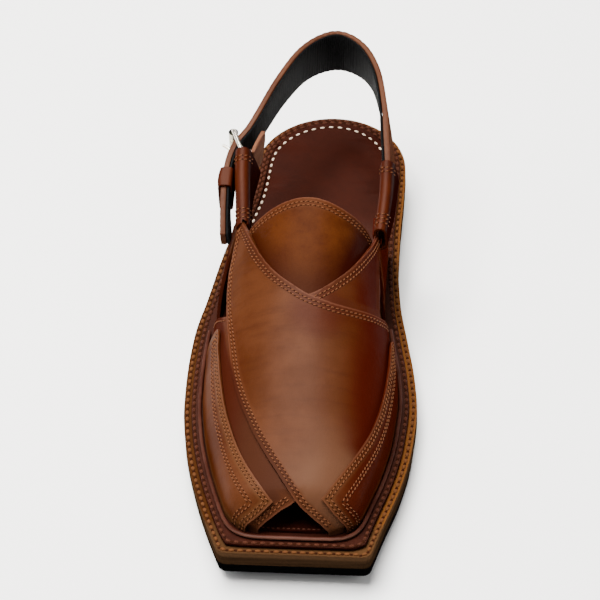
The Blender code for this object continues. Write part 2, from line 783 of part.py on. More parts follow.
def band(name, rows, outer, inner, grow=0.0, spacing=STRAP_SPACING, material=None):
    """An upright strap along rows of x, y, top z, height and lean, between two offsets to its left."""
    rows = through(rows, spacing)
    aside = side_vectors(rows[:, :2])
    sections = []
    for (x, y, top, height, lean), left in zip(rows, aside):
        center = np.array((x, y, 0.0))
        foot = center - left * lean
        sections.append(
            [
                center + left * outer + (0, 0, top + grow),
                center + left * inner + (0, 0, top + grow),
                foot + left * inner + (0, 0, top - height - grow),
                foot + left * outer + (0, 0, top - height - grow),
            ]
        )
    return loft(name, sections, material)


def prong_path():
    plan = through(PRONG, 2.0)
    return np.column_stack([plan, np.full(len(plan), PRONG_Z)])


def make_heel_strap(material):
    """The leather of the strap, on the outer side of its line."""
    strap = band(
        "heel_strap", HEEL_STRAP, -STRAP_THICK / 2, -STRAP_THICK / 2 + STRAP_LEATHER, material=material
    )
    combine(strap, tube("strap_hole", prong_path(), PRONG_HOLE_RADIUS, 10), "DIFFERENCE")
    return strap


def make_strap_lining(material):
    lining = band(
        "strap_lining", HEEL_STRAP, STRAP_THICK / 2 - STRAP_LINING, STRAP_THICK / 2, material=material
    )
    combine(lining, tube("lining_hole", prong_path(), PRONG_HOLE_RADIUS, 10), "DIFFERENCE")
    return lining


def sleeve(name, rows, inset, material=None):
    """A rod of rounded sections along a side loop's rows, thinner than the loop by an inset all round."""
    sections = [
        rounded_section((x, y, z), left, thick - 2 * inset, height - 2 * inset, flare, -lean * outward(x))
        for (x, y, z, height, thick, flare, lean), left in zip(rows, side_vectors(rows[:, :2]))
    ]
    return loft(name, sections, material)


def outward(x):
    """1 on the lateral side, where the left of a path to the heel is outside the shoe, and -1 on the medial."""
    return -1.0 if x < 0 else 1.0


def make_side_loop(side, material):
    """A folded leather sleeve. The upper's tips enter its front, and the strap or the buckle its back."""
    rows = through(SIDE_LOOPS[side], 6.0)
    loop = sleeve(f"side_loop_{side}", rows, 0.0, material)
    for cutter in loop_cutters(side, rows):
        combine(loop, cutter, "DIFFERENCE")
    return loop


def loop_cutters(side, rows):
    """The pocket in the loop's back, and the slots in its front for a panel tip and the quarter."""
    if side == "lateral":
        quarter = pattern(QUARTER_LATERAL_FRONT, QUARTER_LATERAL_BACK[::-1], spacing=EDGE_SPACING)
        panel = pattern(OVER_UPPER_EDGE, OVER_LOWER_EDGE[::-1], spacing=EDGE_SPACING)
        quarter_faces, panel_faces = QUARTER_LATERAL_OFFSETS, (over_lift, over_outer)
        back = rows[rows[:, 1] > POCKET_START_Y]
        beyond = back[-1] + (back[-1] - back[-2])
        pocket = sleeve("buckle_pocket", np.vstack([back, beyond]), POCKET_WALL)
    else:
        quarter = pattern(QUARTER_MEDIAL_FRONT, QUARTER_MEDIAL_BACK[::-1], spacing=EDGE_SPACING)
        panel = pattern(UNDER_UPPER_EDGE, UNDER_LOWER_EDGE[::-1], spacing=EDGE_SPACING)
        quarter_faces, panel_faces = (quarter_medial_inner, quarter_medial_outer), (-SLOT_UNDERCUT, WALL)
        strap = through(HEEL_STRAP, STRAP_SPACING)
        strap = strap[: np.argmax(strap[:, 1] > SIDE_LOOPS[side][-1][1] + 3.0) + 1]
        strap = np.vstack([strap[0] - (strap[1] - strap[0]) * 0.2, strap])
        pocket = band("strap_pocket", strap, -STRAP_THICK / 2 - GAP, STRAP_THICK / 2 + GAP, grow=GAP)
    slots = [("quarter_slot", quarter, quarter_faces), ("panel_slot", panel, panel_faces)]
    front = rows[rows[:, 1] < SIDE_LOOPS[side][0][1] + MOUTH_DEPTH]
    ahead = front[0] + (front[0] - front[1])
    cutters = [pocket, sleeve(f"mouth_{side}", np.vstack([ahead, front]), MOUTH_WALL)]
    for name, outline, (low, high) in slots:
        faces = on_last(clear_of(low, -SLOT_CLEAR), clear_of(high, SLOT_CLEAR))
        cutters.append(sheet(f"{name}_{side}", grown(outline, SLOT_GROWTH), SLOT_SPACING, *faces))
    return cutters


def grown(outline, by):
    """The closed flat outline moved out by a distance."""
    along = np.roll(outline, -1, axis=0) - np.roll(outline, 1, axis=0)
    along /= np.linalg.norm(along, axis=1, keepdims=True)
    return outline + np.column_stack([along[:, 1], -along[:, 0]]) * by


def make_buckle_guard(material):
    return band("buckle_guard", BUCKLE_GUARD, -GUARD_THICK / 2, GUARD_THICK / 2, material=material)


def make_buckle_frame(material):
    """A closed wire frame: the roller's bar and the base bar upright, with a rail above and below."""
    roller, base = np.array(ROLLER_AT), np.array(BASE_BAR_AT)
    length = np.linalg.norm(base - roller)
    along = (base - roller) / length
    bends = [
        # middle of the bend along the frame, its level, the turn where it starts
        (BUCKLE_BEND, BUCKLE_LOW_Z + BUCKLE_BEND, 270),
        (BUCKLE_BEND, BUCKLE_TOP_Z - BUCKLE_BEND, 180),
        (length - BUCKLE_BEND, BUCKLE_TOP_Z - BUCKLE_BEND, 90),
        (length - BUCKLE_BEND, BUCKLE_LOW_Z + BUCKLE_BEND, 0),
    ]
    path = []
    for middle, level, start in bends:
        for turn in np.radians(np.linspace(start, start - 90, 4)):
            reach = middle + BUCKLE_BEND * math.cos(turn)
            height = level + BUCKLE_BEND * math.sin(turn) + BUCKLE_TILT * (1 - reach / length)
            path.append(np.append(roller + along * reach, height))
    return ring_tube("buckle_frame", np.array(path), BUCKLE_WIRE, 7, material)


def ring_tube(name, path, radius, sides, material):
    """A closed ring of round wire along a flat upright loop."""
    count = len(path)
    ahead = np.roll(path, -1, axis=0) - np.roll(path, 1, axis=0)
    ahead /= np.linalg.norm(ahead, axis=1, keepdims=True)
    normal = np.cross(path[0] - path[count // 3], path[0] - path[count // 2])
    normal /= np.linalg.norm(normal)
    points = []
    for point, tangent in zip(path, ahead):
        above = np.cross(tangent, normal)
        for turn in np.arange(sides) * 2 * math.pi / sides:
            points.append(point + radius * (normal * math.cos(turn) + above * math.sin(turn)))
    faces = []
    for i in range(count):
        for j in range(sides):
            k = (j + 1) % sides
            n = (i + 1) % count
            faces.append((i * sides + j, i * sides + k, n * sides + k, n * sides + j))
    obj = new_object(name, points, faces, material)
    face_outward(obj)
    return obj


def make_buckle_roller(material):
    """A rolled tube that turns on the frame's outer bar."""
    x, y = ROLLER_AT
    low = BUCKLE_LOW_Z + BUCKLE_BEND + BUCKLE_TILT
    high = BUCKLE_TOP_Z - BUCKLE_BEND + BUCKLE_TILT
    bore = BUCKLE_WIRE + GAP
    turns = np.arange(16) * 2 * math.pi / 16
    points = [
        (x + radius * math.cos(turn), y + radius * math.sin(turn), level)
        for radius, level in ((ROLLER_RADIUS, low), (bore, low), (bore, high), (ROLLER_RADIUS, high))
        for turn in turns
    ]
    faces = []
    for i in range(4):
        for j in range(16):
            k = (j + 1) % 16
            n = (i + 1) % 4
            faces.append((i * 16 + j, i * 16 + k, n * 16 + k, n * 16 + j))
    obj = new_object("buckle_roller", points, faces, material)
    face_outward(obj)
    return obj


def make_buckle_prong(material):
    return tube("buckle_prong", prong_path(), PRONG_RADIUS, 8, material)


def strap_at(y):
    """x, top z and height of the strap's hanging end at a station y."""
    rows = [(row[1], *row) for row in HEEL_STRAP[::-1] if row[0] < -39.0]
    return tuple(float(table_curve(rows, column)(y)) for column in (1, 3, 4))


def make_keeper(material):
    """The leather keeper loop round the strap's end."""
    rings = []
    ys = np.linspace(KEEPER_Y[0], KEEPER_Y[1], len(KEEPER_BULGES))
    for y, bulge in zip(ys, KEEPER_BULGES):
        x, top, height = strap_at(y)
        half = STRAP_THICK / 2 + KEEPER_CLEAR
        left, right = x - half, x + half
        top, low = top + KEEPER_ROOM, top - height - KEEPER_ROOM
        inner = keeper_section(left, right, top, low, KEEPER_INNER_BEND, y)
        left, right = left - KEEPER_WALL - bulge, right + KEEPER_WALL
        outer = keeper_section(left, right, top + KEEPER_WALL, low - KEEPER_WALL, KEEPER_OUTER_BEND, y)
        rings.append((outer, inner))
    count = len(rings[0][0])
    points = np.concatenate([np.concatenate([outer, inner]) for outer, inner in rings])
    faces = []
    for i in range(len(rings) - 1):
        for j in range(count):
            k = (j + 1) % count
            here, there = i * 2 * count, (i + 1) * 2 * count
            faces.append((here + j, here + k, there + k, there + j))
            faces.append((here + count + k, here + count + j, there + count + j, there + count + k))
    last = (len(rings) - 1) * 2 * count
    for j in range(count):
        k = (j + 1) % count
        faces.append((k, j, count + j, count + k))
        faces.append((last + j, last + k, last + count + k, last + count + j))
    obj = new_object("keeper", points, faces, material)
    face_outward(obj)
    return obj


def keeper_section(left, right, top, low, bend, y):
    """A rounded rectangle across the strap."""
    points = []
    right, left, top, low = right - bend, left + bend, top - bend, low + bend
    for quarter, (x, z) in enumerate([(right, top), (left, top), (left, low), (right, low)]):
        for turn in np.radians(np.linspace(quarter * 90, quarter * 90 + 90, 4)):
            points.append((x + bend * math.cos(turn), y, z + bend * math.sin(turn)))
    return np.array(points)


# ---------------------------------------------------------------- the shoe


def clear_scene():
    for obj in list(bpy.data.objects):
        bpy.data.objects.remove(obj)


def main():
    clear_scene()
    black_rubber = leather("black_rubber", (0.012, 0.011, 0.010), 0.7)
    sole_leather = leather("sole_leather", (0.36, 0.14, 0.03), 0.5)
    welt_leather = leather("welt_leather", (0.06, 0.012, 0.008), 0.5)
    footbed_leather = leather("footbed_leather", (0.075, 0.018, 0.012), 0.55)
    vamp_leather = leather("vamp_leather", (0.21, 0.062, 0.018), 0.38)
    strap_leather = leather("strap_leather", (0.19, 0.06, 0.028), 0.42)
    black_webbing = leather("black_webbing", (0.010, 0.010, 0.011), 0.85)
    suede = leather("suede", (0.30, 0.13, 0.06), 0.9)
    nickel = metal("nickel", (0.72, 0.70, 0.66), 0.22)

    make_outsole(black_rubber)
    make_heel(black_rubber)
    make_midsole(sole_leather)
    make_welt(welt_leather)
    make_insole(footbed_leather)
    make_upper(vamp_leather)
    make_tongue(vamp_leather)
    make_toe_roll(welt_leather)
    make_wing("wing_lateral", WING_LATERAL_EDGE, WING_LATERAL_TOE, under_outer, vamp_leather)
    make_wing("wing_medial", WING_MEDIAL_EDGE, WING_MEDIAL_TOE, over_outer, vamp_leather)
    make_side_loop("lateral", strap_leather)
    make_side_loop("medial", strap_leather)
    make_heel_strap(strap_leather)
    make_strap_lining(black_webbing)
    make_buckle_guard(suede)
    make_buckle_frame(nickel)
    make_buckle_roller(nickel)
    make_buckle_prong(nickel)
    make_keeper(strap_leather)


if __name__ == "__main__":
    main()
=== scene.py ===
"""The looks of a right-foot peshawari chappal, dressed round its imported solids.

The toe points to -Y, the heel to +Y and the wearer's outer side to -X. Lengths are in metres, and a length
named in millimetres is turned to metres by MM. The file is laid out as an add-on with one operator for each
group of pieces, and runs as a script.
"""

import heapq
import math

import bmesh
import bpy
import numpy as np
from mathutils import Matrix, Vector
from mathutils.bvhtree import BVHTree
from mathutils.kdtree import KDTree


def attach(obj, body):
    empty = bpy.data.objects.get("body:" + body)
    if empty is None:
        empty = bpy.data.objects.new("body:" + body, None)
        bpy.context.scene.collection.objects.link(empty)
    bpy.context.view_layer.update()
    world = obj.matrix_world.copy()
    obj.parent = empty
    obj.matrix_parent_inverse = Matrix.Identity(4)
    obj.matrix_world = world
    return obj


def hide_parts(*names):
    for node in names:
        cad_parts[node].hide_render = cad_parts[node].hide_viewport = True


bl_info = {
    "name": "Peshawari chappal",
    "version": (1, 0, 0),
    "blender": (4, 5, 0),
    "location": "View3D > Sidebar > Chappal",
    "description": "Dresses the packed solids of a peshawari chappal in leather, thread and metal",
    "category": "Object",
}

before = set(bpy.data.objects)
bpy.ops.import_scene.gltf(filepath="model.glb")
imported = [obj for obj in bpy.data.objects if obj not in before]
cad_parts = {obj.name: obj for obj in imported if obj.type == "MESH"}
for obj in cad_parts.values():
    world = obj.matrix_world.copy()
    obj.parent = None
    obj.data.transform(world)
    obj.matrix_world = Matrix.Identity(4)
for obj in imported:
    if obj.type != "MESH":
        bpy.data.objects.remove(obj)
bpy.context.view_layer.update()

MM = 0.001
MERGE = 0.00002                 # corners nearer than this are one corner
BODY = "root"
TOE_MIDDLE_Y = -105 * MM        # ahead of this the toe's leather turns round one upright line
HEEL_MIDDLE_Y = 95 * MM         # behind this the strap turns round one upright line
FOOT_MIDDLE = (2 * MM, 25 * MM) # x and z of the line that the upper is wrapped round
OUTSIDE, INSIDE, CUT = range(3) # the three surfaces of a piece of leather, and their material slots
made = {}                       # finished pieces by name
rims = {}                       # the rims of merged pieces, by name


# ---------------------------------------------------------------- hand tools


def deselect():
    if bpy.context.mode != "OBJECT":
        bpy.ops.object.mode_set(mode="OBJECT")
    bpy.ops.object.select_all(action="DESELECT")


def pick(piece):
    deselect()
    piece.select_set(True)
    bpy.context.view_layer.objects.active = piece


def apply_modifier(piece, kind, **settings):
    pick(piece)
    modifier = piece.modifiers.new(kind.title(), kind)
    for key, value in settings.items():
        setattr(modifier, key, value)
    bpy.ops.object.modifier_apply(modifier=modifier.name)


def merged_copy(node, name):
    """A copy of a CAD node with its loose triangles joined."""
    piece = bpy.data.objects.new(name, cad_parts[node].data.copy())
    piece.data.name = name
    piece.data.materials.clear()
    bpy.context.collection.objects.link(piece)
    pick(piece)
    bpy.ops.mesh.customdata_custom_splitnormals_clear()
    bpy.ops.object.mode_set(mode="EDIT")
    bpy.ops.mesh.select_mode(type="EDGE")
    bpy.ops.mesh.select_all(action="SELECT")
    bpy.ops.mesh.remove_doubles(threshold=MERGE)
    bpy.ops.mesh.select_all(action="DESELECT")
    bpy.ops.object.mode_set(mode="OBJECT")
    return piece


def softened(piece, crease=0.8, levels=2, sharp=35.0, smooth=50.0):
    """Rounds a merged piece: edges sharper than an angle stay as firm as the crease."""
    pick(piece)
    bpy.ops.object.mode_set(mode="EDIT")
    bpy.ops.mesh.select_mode(type="EDGE")
    bpy.ops.mesh.select_all(action="DESELECT")
    bpy.ops.mesh.edges_select_sharp(sharpness=math.radians(sharp))
    bpy.ops.transform.edge_crease(value=crease)
    bpy.ops.object.mode_set(mode="OBJECT")
    apply_modifier(piece, "SUBSURF", levels=levels, render_levels=levels)
    bpy.ops.object.shade_smooth_by_angle(angle=math.radians(smooth))
    return piece


def finish(piece, slot, *nodes):
    """Hands a piece over: it rides on the shoe and stands for CAD nodes, which it hides. Its slot is not used."""
    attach(piece, BODY)
    if nodes:
        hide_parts(*nodes)
    made[piece.name] = piece
    return piece


def dress(piece, *materials):
    piece.data.materials.clear()
    for material in materials:
        piece.data.materials.append(material)


# ---------------------------------------------------------------- leather surfaces and their rims


def foot_middle(point):
    """The point inside the foot that the upper's leather faces away from."""
    x, z = FOOT_MIDDLE
    return Vector((x, max(point.y, TOE_MIDDLE_Y), z))


def ankle_middle(point):
    """The point inside the ankle that the heel strap faces away from."""
    return Vector((0.0, min(point.y, HEEL_MIDDLE_Y), point.z))


def tree_of(piece, kept=None):
    """A search tree of a piece's faces, or of those with one material."""
    mesh = piece.data
    faces = [face.vertices[:] for face in mesh.polygons if kept is None or face.material_index == kept]
    return BVHTree.FromPolygons([vertex.co for vertex in mesh.vertices], faces)


def places_tree(places):
    """A search tree of places, given as pairs of an index and a place."""
    places = list(places)
    tree = KDTree(len(places))
    for index, place in places:
        tree.insert(place, index)
    tree.balance()
    return tree


def run_along(points):
    """How far along a line of points each of them lies."""
    return np.concatenate([[0.0], np.cumsum(np.linalg.norm(np.diff(points, axis=0), axis=1))])


def sort_faces(piece, middle, thickest):
    """Gives each face of a leather piece its slot: outside, inside, or cut edge where no face lies behind."""
    tree = tree_of(piece)
    for face in piece.data.polygons:
        start = face.center - face.normal * MERGE
        behind = tree.ray_cast(start, -face.normal, thickest)[0]
        if behind is None:
            face.material_index = CUT
        elif face.normal.dot(face.center - middle(face.center)) > 0:
            face.material_index = OUTSIDE
        else:
            face.material_index = INSIDE


RIM_REACH = 6 * MM
RIM_STEP = 1.3 * MM             # how far above or below a corner its own rim may lie


def mark_rim(piece):
    """Stores on each corner how far it lies from the nearest outer rim, in millimetres."""
    mesh = piece.data
    shown = {index for face in mesh.polygons if face.material_index == OUTSIDE for index in face.vertices}
    edge = [face for face in mesh.polygons if face.material_index == CUT and not shown.isdisjoint(face.vertices)]
    tree = places_tree((face.index, face.center) for face in edge)
    far = []
    for vertex in mesh.vertices:
        near = tree.find_range(vertex.co, RIM_REACH) if vertex.index in shown else []
        level = [gap for center, _, gap in near if abs((center - vertex.co).dot(vertex.normal)) < RIM_STEP]
        far.append(min(level, default=RIM_REACH) / MM)
    mesh.attributes.new("rim", "FLOAT", "POINT").data.foreach_set("value", far)


class Rim:
    """The net of a merged piece's edges, on which the rim of its outer face is the easiest way to walk."""

    DETOUR = 12.0               # how much longer a step off the rim counts
    SHARP = math.radians(33)

    def __init__(self, piece, outer):
        net = bmesh.new()
        net.from_mesh(piece.data)
        net.normal_update()
        self.points = [vertex.co.copy() for vertex in net.verts]
        self.steps = [[] for _ in net.verts]
        self.normals = [Vector() for _ in net.verts]
        self.on_rim = set()
        facing = {face.index: outer(face) for face in net.faces}
        for edge in net.edges:
            first, second = (vertex.index for vertex in edge.verts)
            faces = [face for face in edge.link_faces if facing[face.index]]
            length = edge.calc_length()
            sharp = len(edge.link_faces) == 2 and edge.calc_face_angle_signed() > self.SHARP
            if sharp and len(faces) == 1:
                self.on_rim.update((first, second))
                for index in (first, second):
                    self.normals[index] += faces[0].normal
            else:
                length *= self.DETOUR
            self.steps[first].append((second, length))
            self.steps[second].append((first, length))
        net.free()
        self.tree = places_tree((index, self.points[index]) for index in self.on_rim)

    def way(self, start, end):
        best = {start: (0.0, None)}
        queue = [(0.0, start)]
        while queue:
            length, here = heapq.heappop(queue)
            if here == end:
                break
            if length > best[here][0]:
                continue
            for there, step in self.steps[here]:
                if there not in best or length + step < best[there][0]:
                    best[there] = (length + step, here)
                    heapq.heappush(queue, (length + step, there))
        chain = []
        while end is not None:
            chain.append(end)
            end = best[end][1]
        return chain[::-1]

    def walk(self, *stops):
        """Points and outward normals along the rim, from near the first stop, in millimetres, to near the last."""
        places = [self.tree.find(Vector(stop) * MM)[1] for stop in stops]
        chain = [places[0]]
        for start, end in zip(places, places[1:]):
            chain += self.way(start, end)[1:]
        chain = [index for index in chain if index in self.on_rim]
        points = np.array([self.points[index] for index in chain])
        normals = np.array([self.normals[index].normalized() for index in chain])
        return points, normals


def resampled(points, others, step):
    """The points, and what goes with them, at even steps along the line."""
    run = run_along(points)
    count = max(int(round(run[-1] / step)), 2) + 1
    at = np.linspace(0.0, run[-1], count)
    pick_at = lambda rows: np.column_stack([np.interp(at, run, column) for column in rows.T])
    return pick_at(points), pick_at(others)


def averaged(rows, reach, closed=False):
    """Each row averaged with its neighbours, the ends of an open line held."""
    if closed:
        padded = np.concatenate([rows[-reach:], rows, rows[:reach]])
    else:
        before = 2 * rows[0] - rows[reach:0:-1]
        after = 2 * rows[-1] - rows[-2 : -reach - 2 : -1]
        padded = np.concatenate([before, rows, after])
    weights = np.hanning(2 * reach + 3)[1:-1]
    weights /= weights.sum()
    return np.column_stack([np.convolve(column, weights, "valid") for column in padded.T])


def nearest_gap(points, line):
    """How far each point lies from a line of points."""
    gaps = np.linalg.norm(points[:, None, :] - line[None, :, :], axis=2)
    return gaps.min(axis=1)


PATH_STEP = 0.5 * MM
BED_PITCH = 4.5 * MM            # from one stitch of the footbed to the next
PATH_SMOOTH = 6                 # steps on each side that a path is averaged over
PROBES = 40                     # places along a line that show which side of it the surface lies on
PROBE_REACH = 2 * MM
LEAST_INSET = 0.9               # a row ends where it has less than this share of its inset
SHORTEST_ROW = 4                # steps
SIGHT = 1 / 3                   # of a pitch, to either side, that a stitch is turned along


def rim_line(walked, closed=False):
    """An even, smooth line and its outward normals from a walk along a rim."""
    points, normals = resampled(*walked, PATH_STEP)
    points = averaged(points, PATH_SMOOTH, closed)
    normals = averaged(normals, PATH_SMOOTH, closed)
    normals /= np.linalg.norm(normals, axis=1, keepdims=True)
    return points, normals


def inset_line(line, surface, inset, clear=(), closed=False):
    """A line on the surface at an inset from a rim line. It stops where it comes too near other lines.

    inset is a length in millimetres, or several for stations from the start of the line to its end. clear holds
    pairs of a line and the least distance from it.
    """
    points, normals = line
    along = np.gradient(points, axis=0)
    if closed:
        along = (np.roll(points, -1, axis=0) - np.roll(points, 1, axis=0)) / 2
    along /= np.linalg.norm(along, axis=1, keepdims=True)
    across = np.cross(normals, along)
    insets = np.atleast_1d(inset) * MM
    share = np.linspace(0.0, 1.0, len(points))
    reach = np.interp(share, np.linspace(0.0, 1.0, len(insets)), insets)[:, None]
    stride = max(len(points) // PROBES, 1)
    miss = [
        sum(surface.find_nearest(Vector(p))[3] for p in points[::stride] + sign * PROBE_REACH * across[::stride])
        for sign in (1, -1)
    ]
    sign = 1 if miss[0] < miss[1] else -1
    placed = points + sign * reach * across
    found = [surface.find_nearest(Vector(p)) for p in placed]
    placed = np.array([hit[0] for hit in found])
    facing = np.array([hit[1] for hit in found])
    facing = np.where((facing * normals).sum(axis=1, keepdims=True) < 0, -facing, facing)
    kept = nearest_gap(placed, points) > LEAST_INSET * reach[:, 0]
    for other, least in clear:
        kept &= nearest_gap(placed, other[0]) > least * MM
    return placed, facing, kept


def places_along(placed, facing, kept, pitch, closed=False):
    """Matrices at an even pitch along each unbroken run of a line: X along it, Z out of the surface."""
    places = []
    breaks = np.flatnonzero(~kept)
    edges = np.concatenate([[-1], breaks, [len(kept)]])
    for start, end in zip(edges[:-1] + 1, edges[1:]):
        if end - start < SHORTEST_ROW:
            continue
        points, normals = resampled(placed[start:end], facing[start:end], PATH_STEP)
        run = run_along(points)
        count = max(int(run[-1] / pitch), 1)
        for at in (np.arange(count) + 0.5) * run[-1] / count:
            ahead, behind = min(at + pitch * SIGHT, run[-1]), max(at - pitch * SIGHT, 0.0)
            spot, fore, aft = (np.array([np.interp(d, run, c) for c in points.T]) for d in (at, ahead, behind))
            up = np.array([np.interp(at, run, c) for c in normals.T])
            x = Vector(fore - aft).normalized()
            y = Vector(up).cross(x).normalized()
            z = x.cross(y)
            places.append(Matrix((x, y, z)).transposed().to_4x4())
            places[-1].translation = Vector(spot)
    return places


# ---------------------------------------------------------------- shader sums


class Value:
    """A socket of a material that takes part in sums: an expression on it adds Math nodes."""

    def __init__(self, shader, socket):
        self.shader = shader
        self.socket = socket

    def math(self, operation, *others, clamp=False):
        settings = {"operation": operation, "use_clamp": clamp}
        return self.shader.node("ShaderNodeMath", settings, dict(enumerate((self, *others))))

    def __add__(self, other):
        return self.math("ADD", other)

    def __sub__(self, other):
        return self.math("SUBTRACT", other)

    def __rsub__(self, other):
        return self * -1.0 + other

    def __mul__(self, other):
        return self.math("MULTIPLY", other)

    def __pow__(self, other):
        return self.math("POWER", other)

    __radd__ = __add__
    __rmul__ = __mul__

    def clamped(self):
        return self.math("ADD", 0.0, clamp=True)

    def most(self, other):
        return self.math("MAXIMUM", other)

    def step(self, start, end):
        """0 before start and 1 after end, with a smooth change between."""
        settings = {"interpolation_type": "SMOOTHSTEP"}
        return self.shader.node("ShaderNodeMapRange", settings, {"Value": self, "From Min": start, "From Max": end})

    def wavy(self, clouds, reach):
        """The value moved up and down within a reach by clouds, so that what it bounds has no ruled edge."""
        return self + (clouds - 0.5) * reach


class Finish:
    """A material under construction."""

    PRINCIPLED = "ShaderNodeBsdfPrincipled"

    def __init__(self, name):
        self.material = bpy.data.materials.new(name)
        self.material.use_nodes = True
        self.tree = self.material.node_tree
        self.tree.nodes.clear()

    def add(self, kind, settings=None, values=None):
        """Adds a node: its settings are made first, then the values or links of its sockets."""
        added = self.tree.nodes.new(kind)
        for key, value in (settings or {}).items():
            setattr(added, key, value)
        for key, value in (values or {}).items():
            self.feed(added.inputs[key], value)
        return added

    def node(self, kind, settings=None, values=None, output=0):
        """One output of an added node."""
        return Value(self, self.add(kind, settings, values).outputs[output])

    def feed(self, socket, value):
        if isinstance(value, Value):
            self.tree.links.new(value.socket, socket)
        elif socket.type == "RGBA" and len(value) == 3:
            socket.default_value = (*value, 1.0)
        else:
            socket.default_value = value

    def place(self, stretch=(1.0, 1.0, 1.0), shift=(0.0, 0.0, 0.0)):
        """The piece's own coordinates in metres, stretched and shifted."""
        own = self.node("ShaderNodeTexCoord", output="Object")
        return self.node("ShaderNodeMapping", None, {"Vector": own, "Location": shift, "Scale": stretch})

    def axis(self, index):
        """X, Y or Z of the piece's own coordinates, in millimetres."""
        own = self.node("ShaderNodeTexCoord", output="Object")
        return self.node("ShaderNodeSeparateXYZ", None, {"Vector": own}, index) * (1 / MM)

    def facing(self, index):
        """How far the surface faces along X, Y or Z, from -1 to 1."""
        normal = self.node("ShaderNodeNewGeometry", output="Normal")
        return self.node("ShaderNodeSeparateXYZ", None, {"Vector": normal}, index)

    def upward(self, start, end):
        """0 where the surface looks up less than start, and 1 where it looks up more than end."""
        return self.facing(2).step(start, end)

    def stored(self, name):
        return self.node("ShaderNodeAttribute", {"attribute_name": name}, output="Fac")

    def noise(self, scale, detail=3.0, roughness=0.5, where=None, distortion=0.0):
        values = {"Scale": scale, "Detail": detail, "Roughness": roughness, "Distortion": distortion}
        return self.node("ShaderNodeTexNoise", None, values | {"Vector": where or self.place()})

    def cells(self, scale):
        return self.node("ShaderNodeTexVoronoi", None, {"Scale": scale, "Vector": self.place()})

    def mix(self, factor, first, second):
        """Two colours mixed. The node's colour sockets share their names with others, so they go by number."""
        return self.node("ShaderNodeMix", {"data_type": "RGBA"}, {0: factor, 6: first, 7: second}, 2)

    def bump(self, height, distance):
        return self.node("ShaderNodeBump", None, {"Height": height, "Distance": distance})

    def surface(self, gloss=None, **values):
        """Ends the material with a Principled surface. With a gloss, it shines warm at 1 and is matte at 0."""
        named = {key.replace("_", " ").title().replace("Ior", "IOR"): value for key, value in values.items()}
        if gloss is None:
            shader = self.node(self.PRINCIPLED, None, named)
        else:
            named["Specular Tint"] = GLOSS_TINT
            shining = self.node(self.PRINCIPLED, None, named)
            matte = self.node(self.PRINCIPLED, None, named | {"Specular IOR Level": 0.0, "Coat Weight": 0.0})
            shader = self.node("ShaderNodeMixShader", None, {0: gloss, 1: matte, 2: shining})
        self.add("ShaderNodeOutputMaterial", None, {"Surface": shader})
        return self.material


# ---------------------------------------------------------------- materials

GLOSS_TINT = (1.0, 0.60, 0.40, 1.0)     # dyed and waxed leather shines warm
SHEEN = (0.15, 0.95)            # how far up a face looks where its leather starts to shine and where it fully does
LACQUER = (0.35, 0.8)           # the same for the sole's margin
# painted shade: the black of the roller's hollow ends
PAINTED_END_SHADE = (0.006, 0.006, 0.005)

# Lines that colours follow, in millimetres.
OVER_EDGE_START = -38.2         # the over panel's lower edge from above: x = START + BEND y y
OVER_EDGE_BEND = 0.0029
PAINTED_SHEEN_TOE = -95.0                # the over panel gets a painted sheen ahead of this
INNER_PAINTED_SHEEN = -76.0               # and its inner half ahead of this
UNDER_BAND = -129.0             # the under panel has its edge band ahead of this
CROSSING_X, CROSSING_Y = 3.0, -26.0     # the panels' upper edges from above: y = Y + BEND (x - X) (x - X)
CROSSING_BEND = 0.04
SPRING_START = -60.0            # ahead of this the sole rises to the toe
SPRING_RUN = 85.2
TOE_RISE = 7.0
HEEL_START, HEEL_END = 10.0, 70.0       # between these it rises to the heel
HEEL_RISE = 7.5
TOE_MARGIN = -122.0             # ahead of this its margin turns olive
RIB_PITCH = 1.15                # of the webbing, along the strap and up it
WEAVE_PITCH = 0.8


def grain(f, size, depth, wrinkle=0.0):
    """Fine leather grain: small cells under soft noise, with faint wrinkles across the foot."""
    scale = 1.0 / size
    height = f.cells(scale) * 0.45 + f.noise(scale * 0.35, 4.0, 0.6) * 0.8
    if wrinkle:
        height = height + f.noise(1.0, 3.0, 0.6, f.place((40.0, 420.0, 60.0)), 0.6) * wrinkle
    return f.bump(height, depth)


def mottled(f, clouds, fine, base, deep):
    """The two tones of a leather, mixed by soft clouds and a fine speckle."""
    return f.mix((clouds * 0.7 + fine.step(0.4, 0.8) * 0.25).clamped(), base, deep)


def edged(f, color, rim, width, band, band_share, fold_highlight, fold_highlight_share):
    """A band along the rim of a leather, which ends softly over a width, and a painted highlight as a pale line on
    the turned edge.
    """
    color = f.mix((1.0 - rim.step(*width)) * band_share, color, band)
    # painted highlight: a pale line where the turned edge catches the light
    turned = rim.step(0.0, 0.3) * (1.0 - rim.step(0.6, 1.0))
    return f.mix(turned * fold_highlight_share, color, fold_highlight)


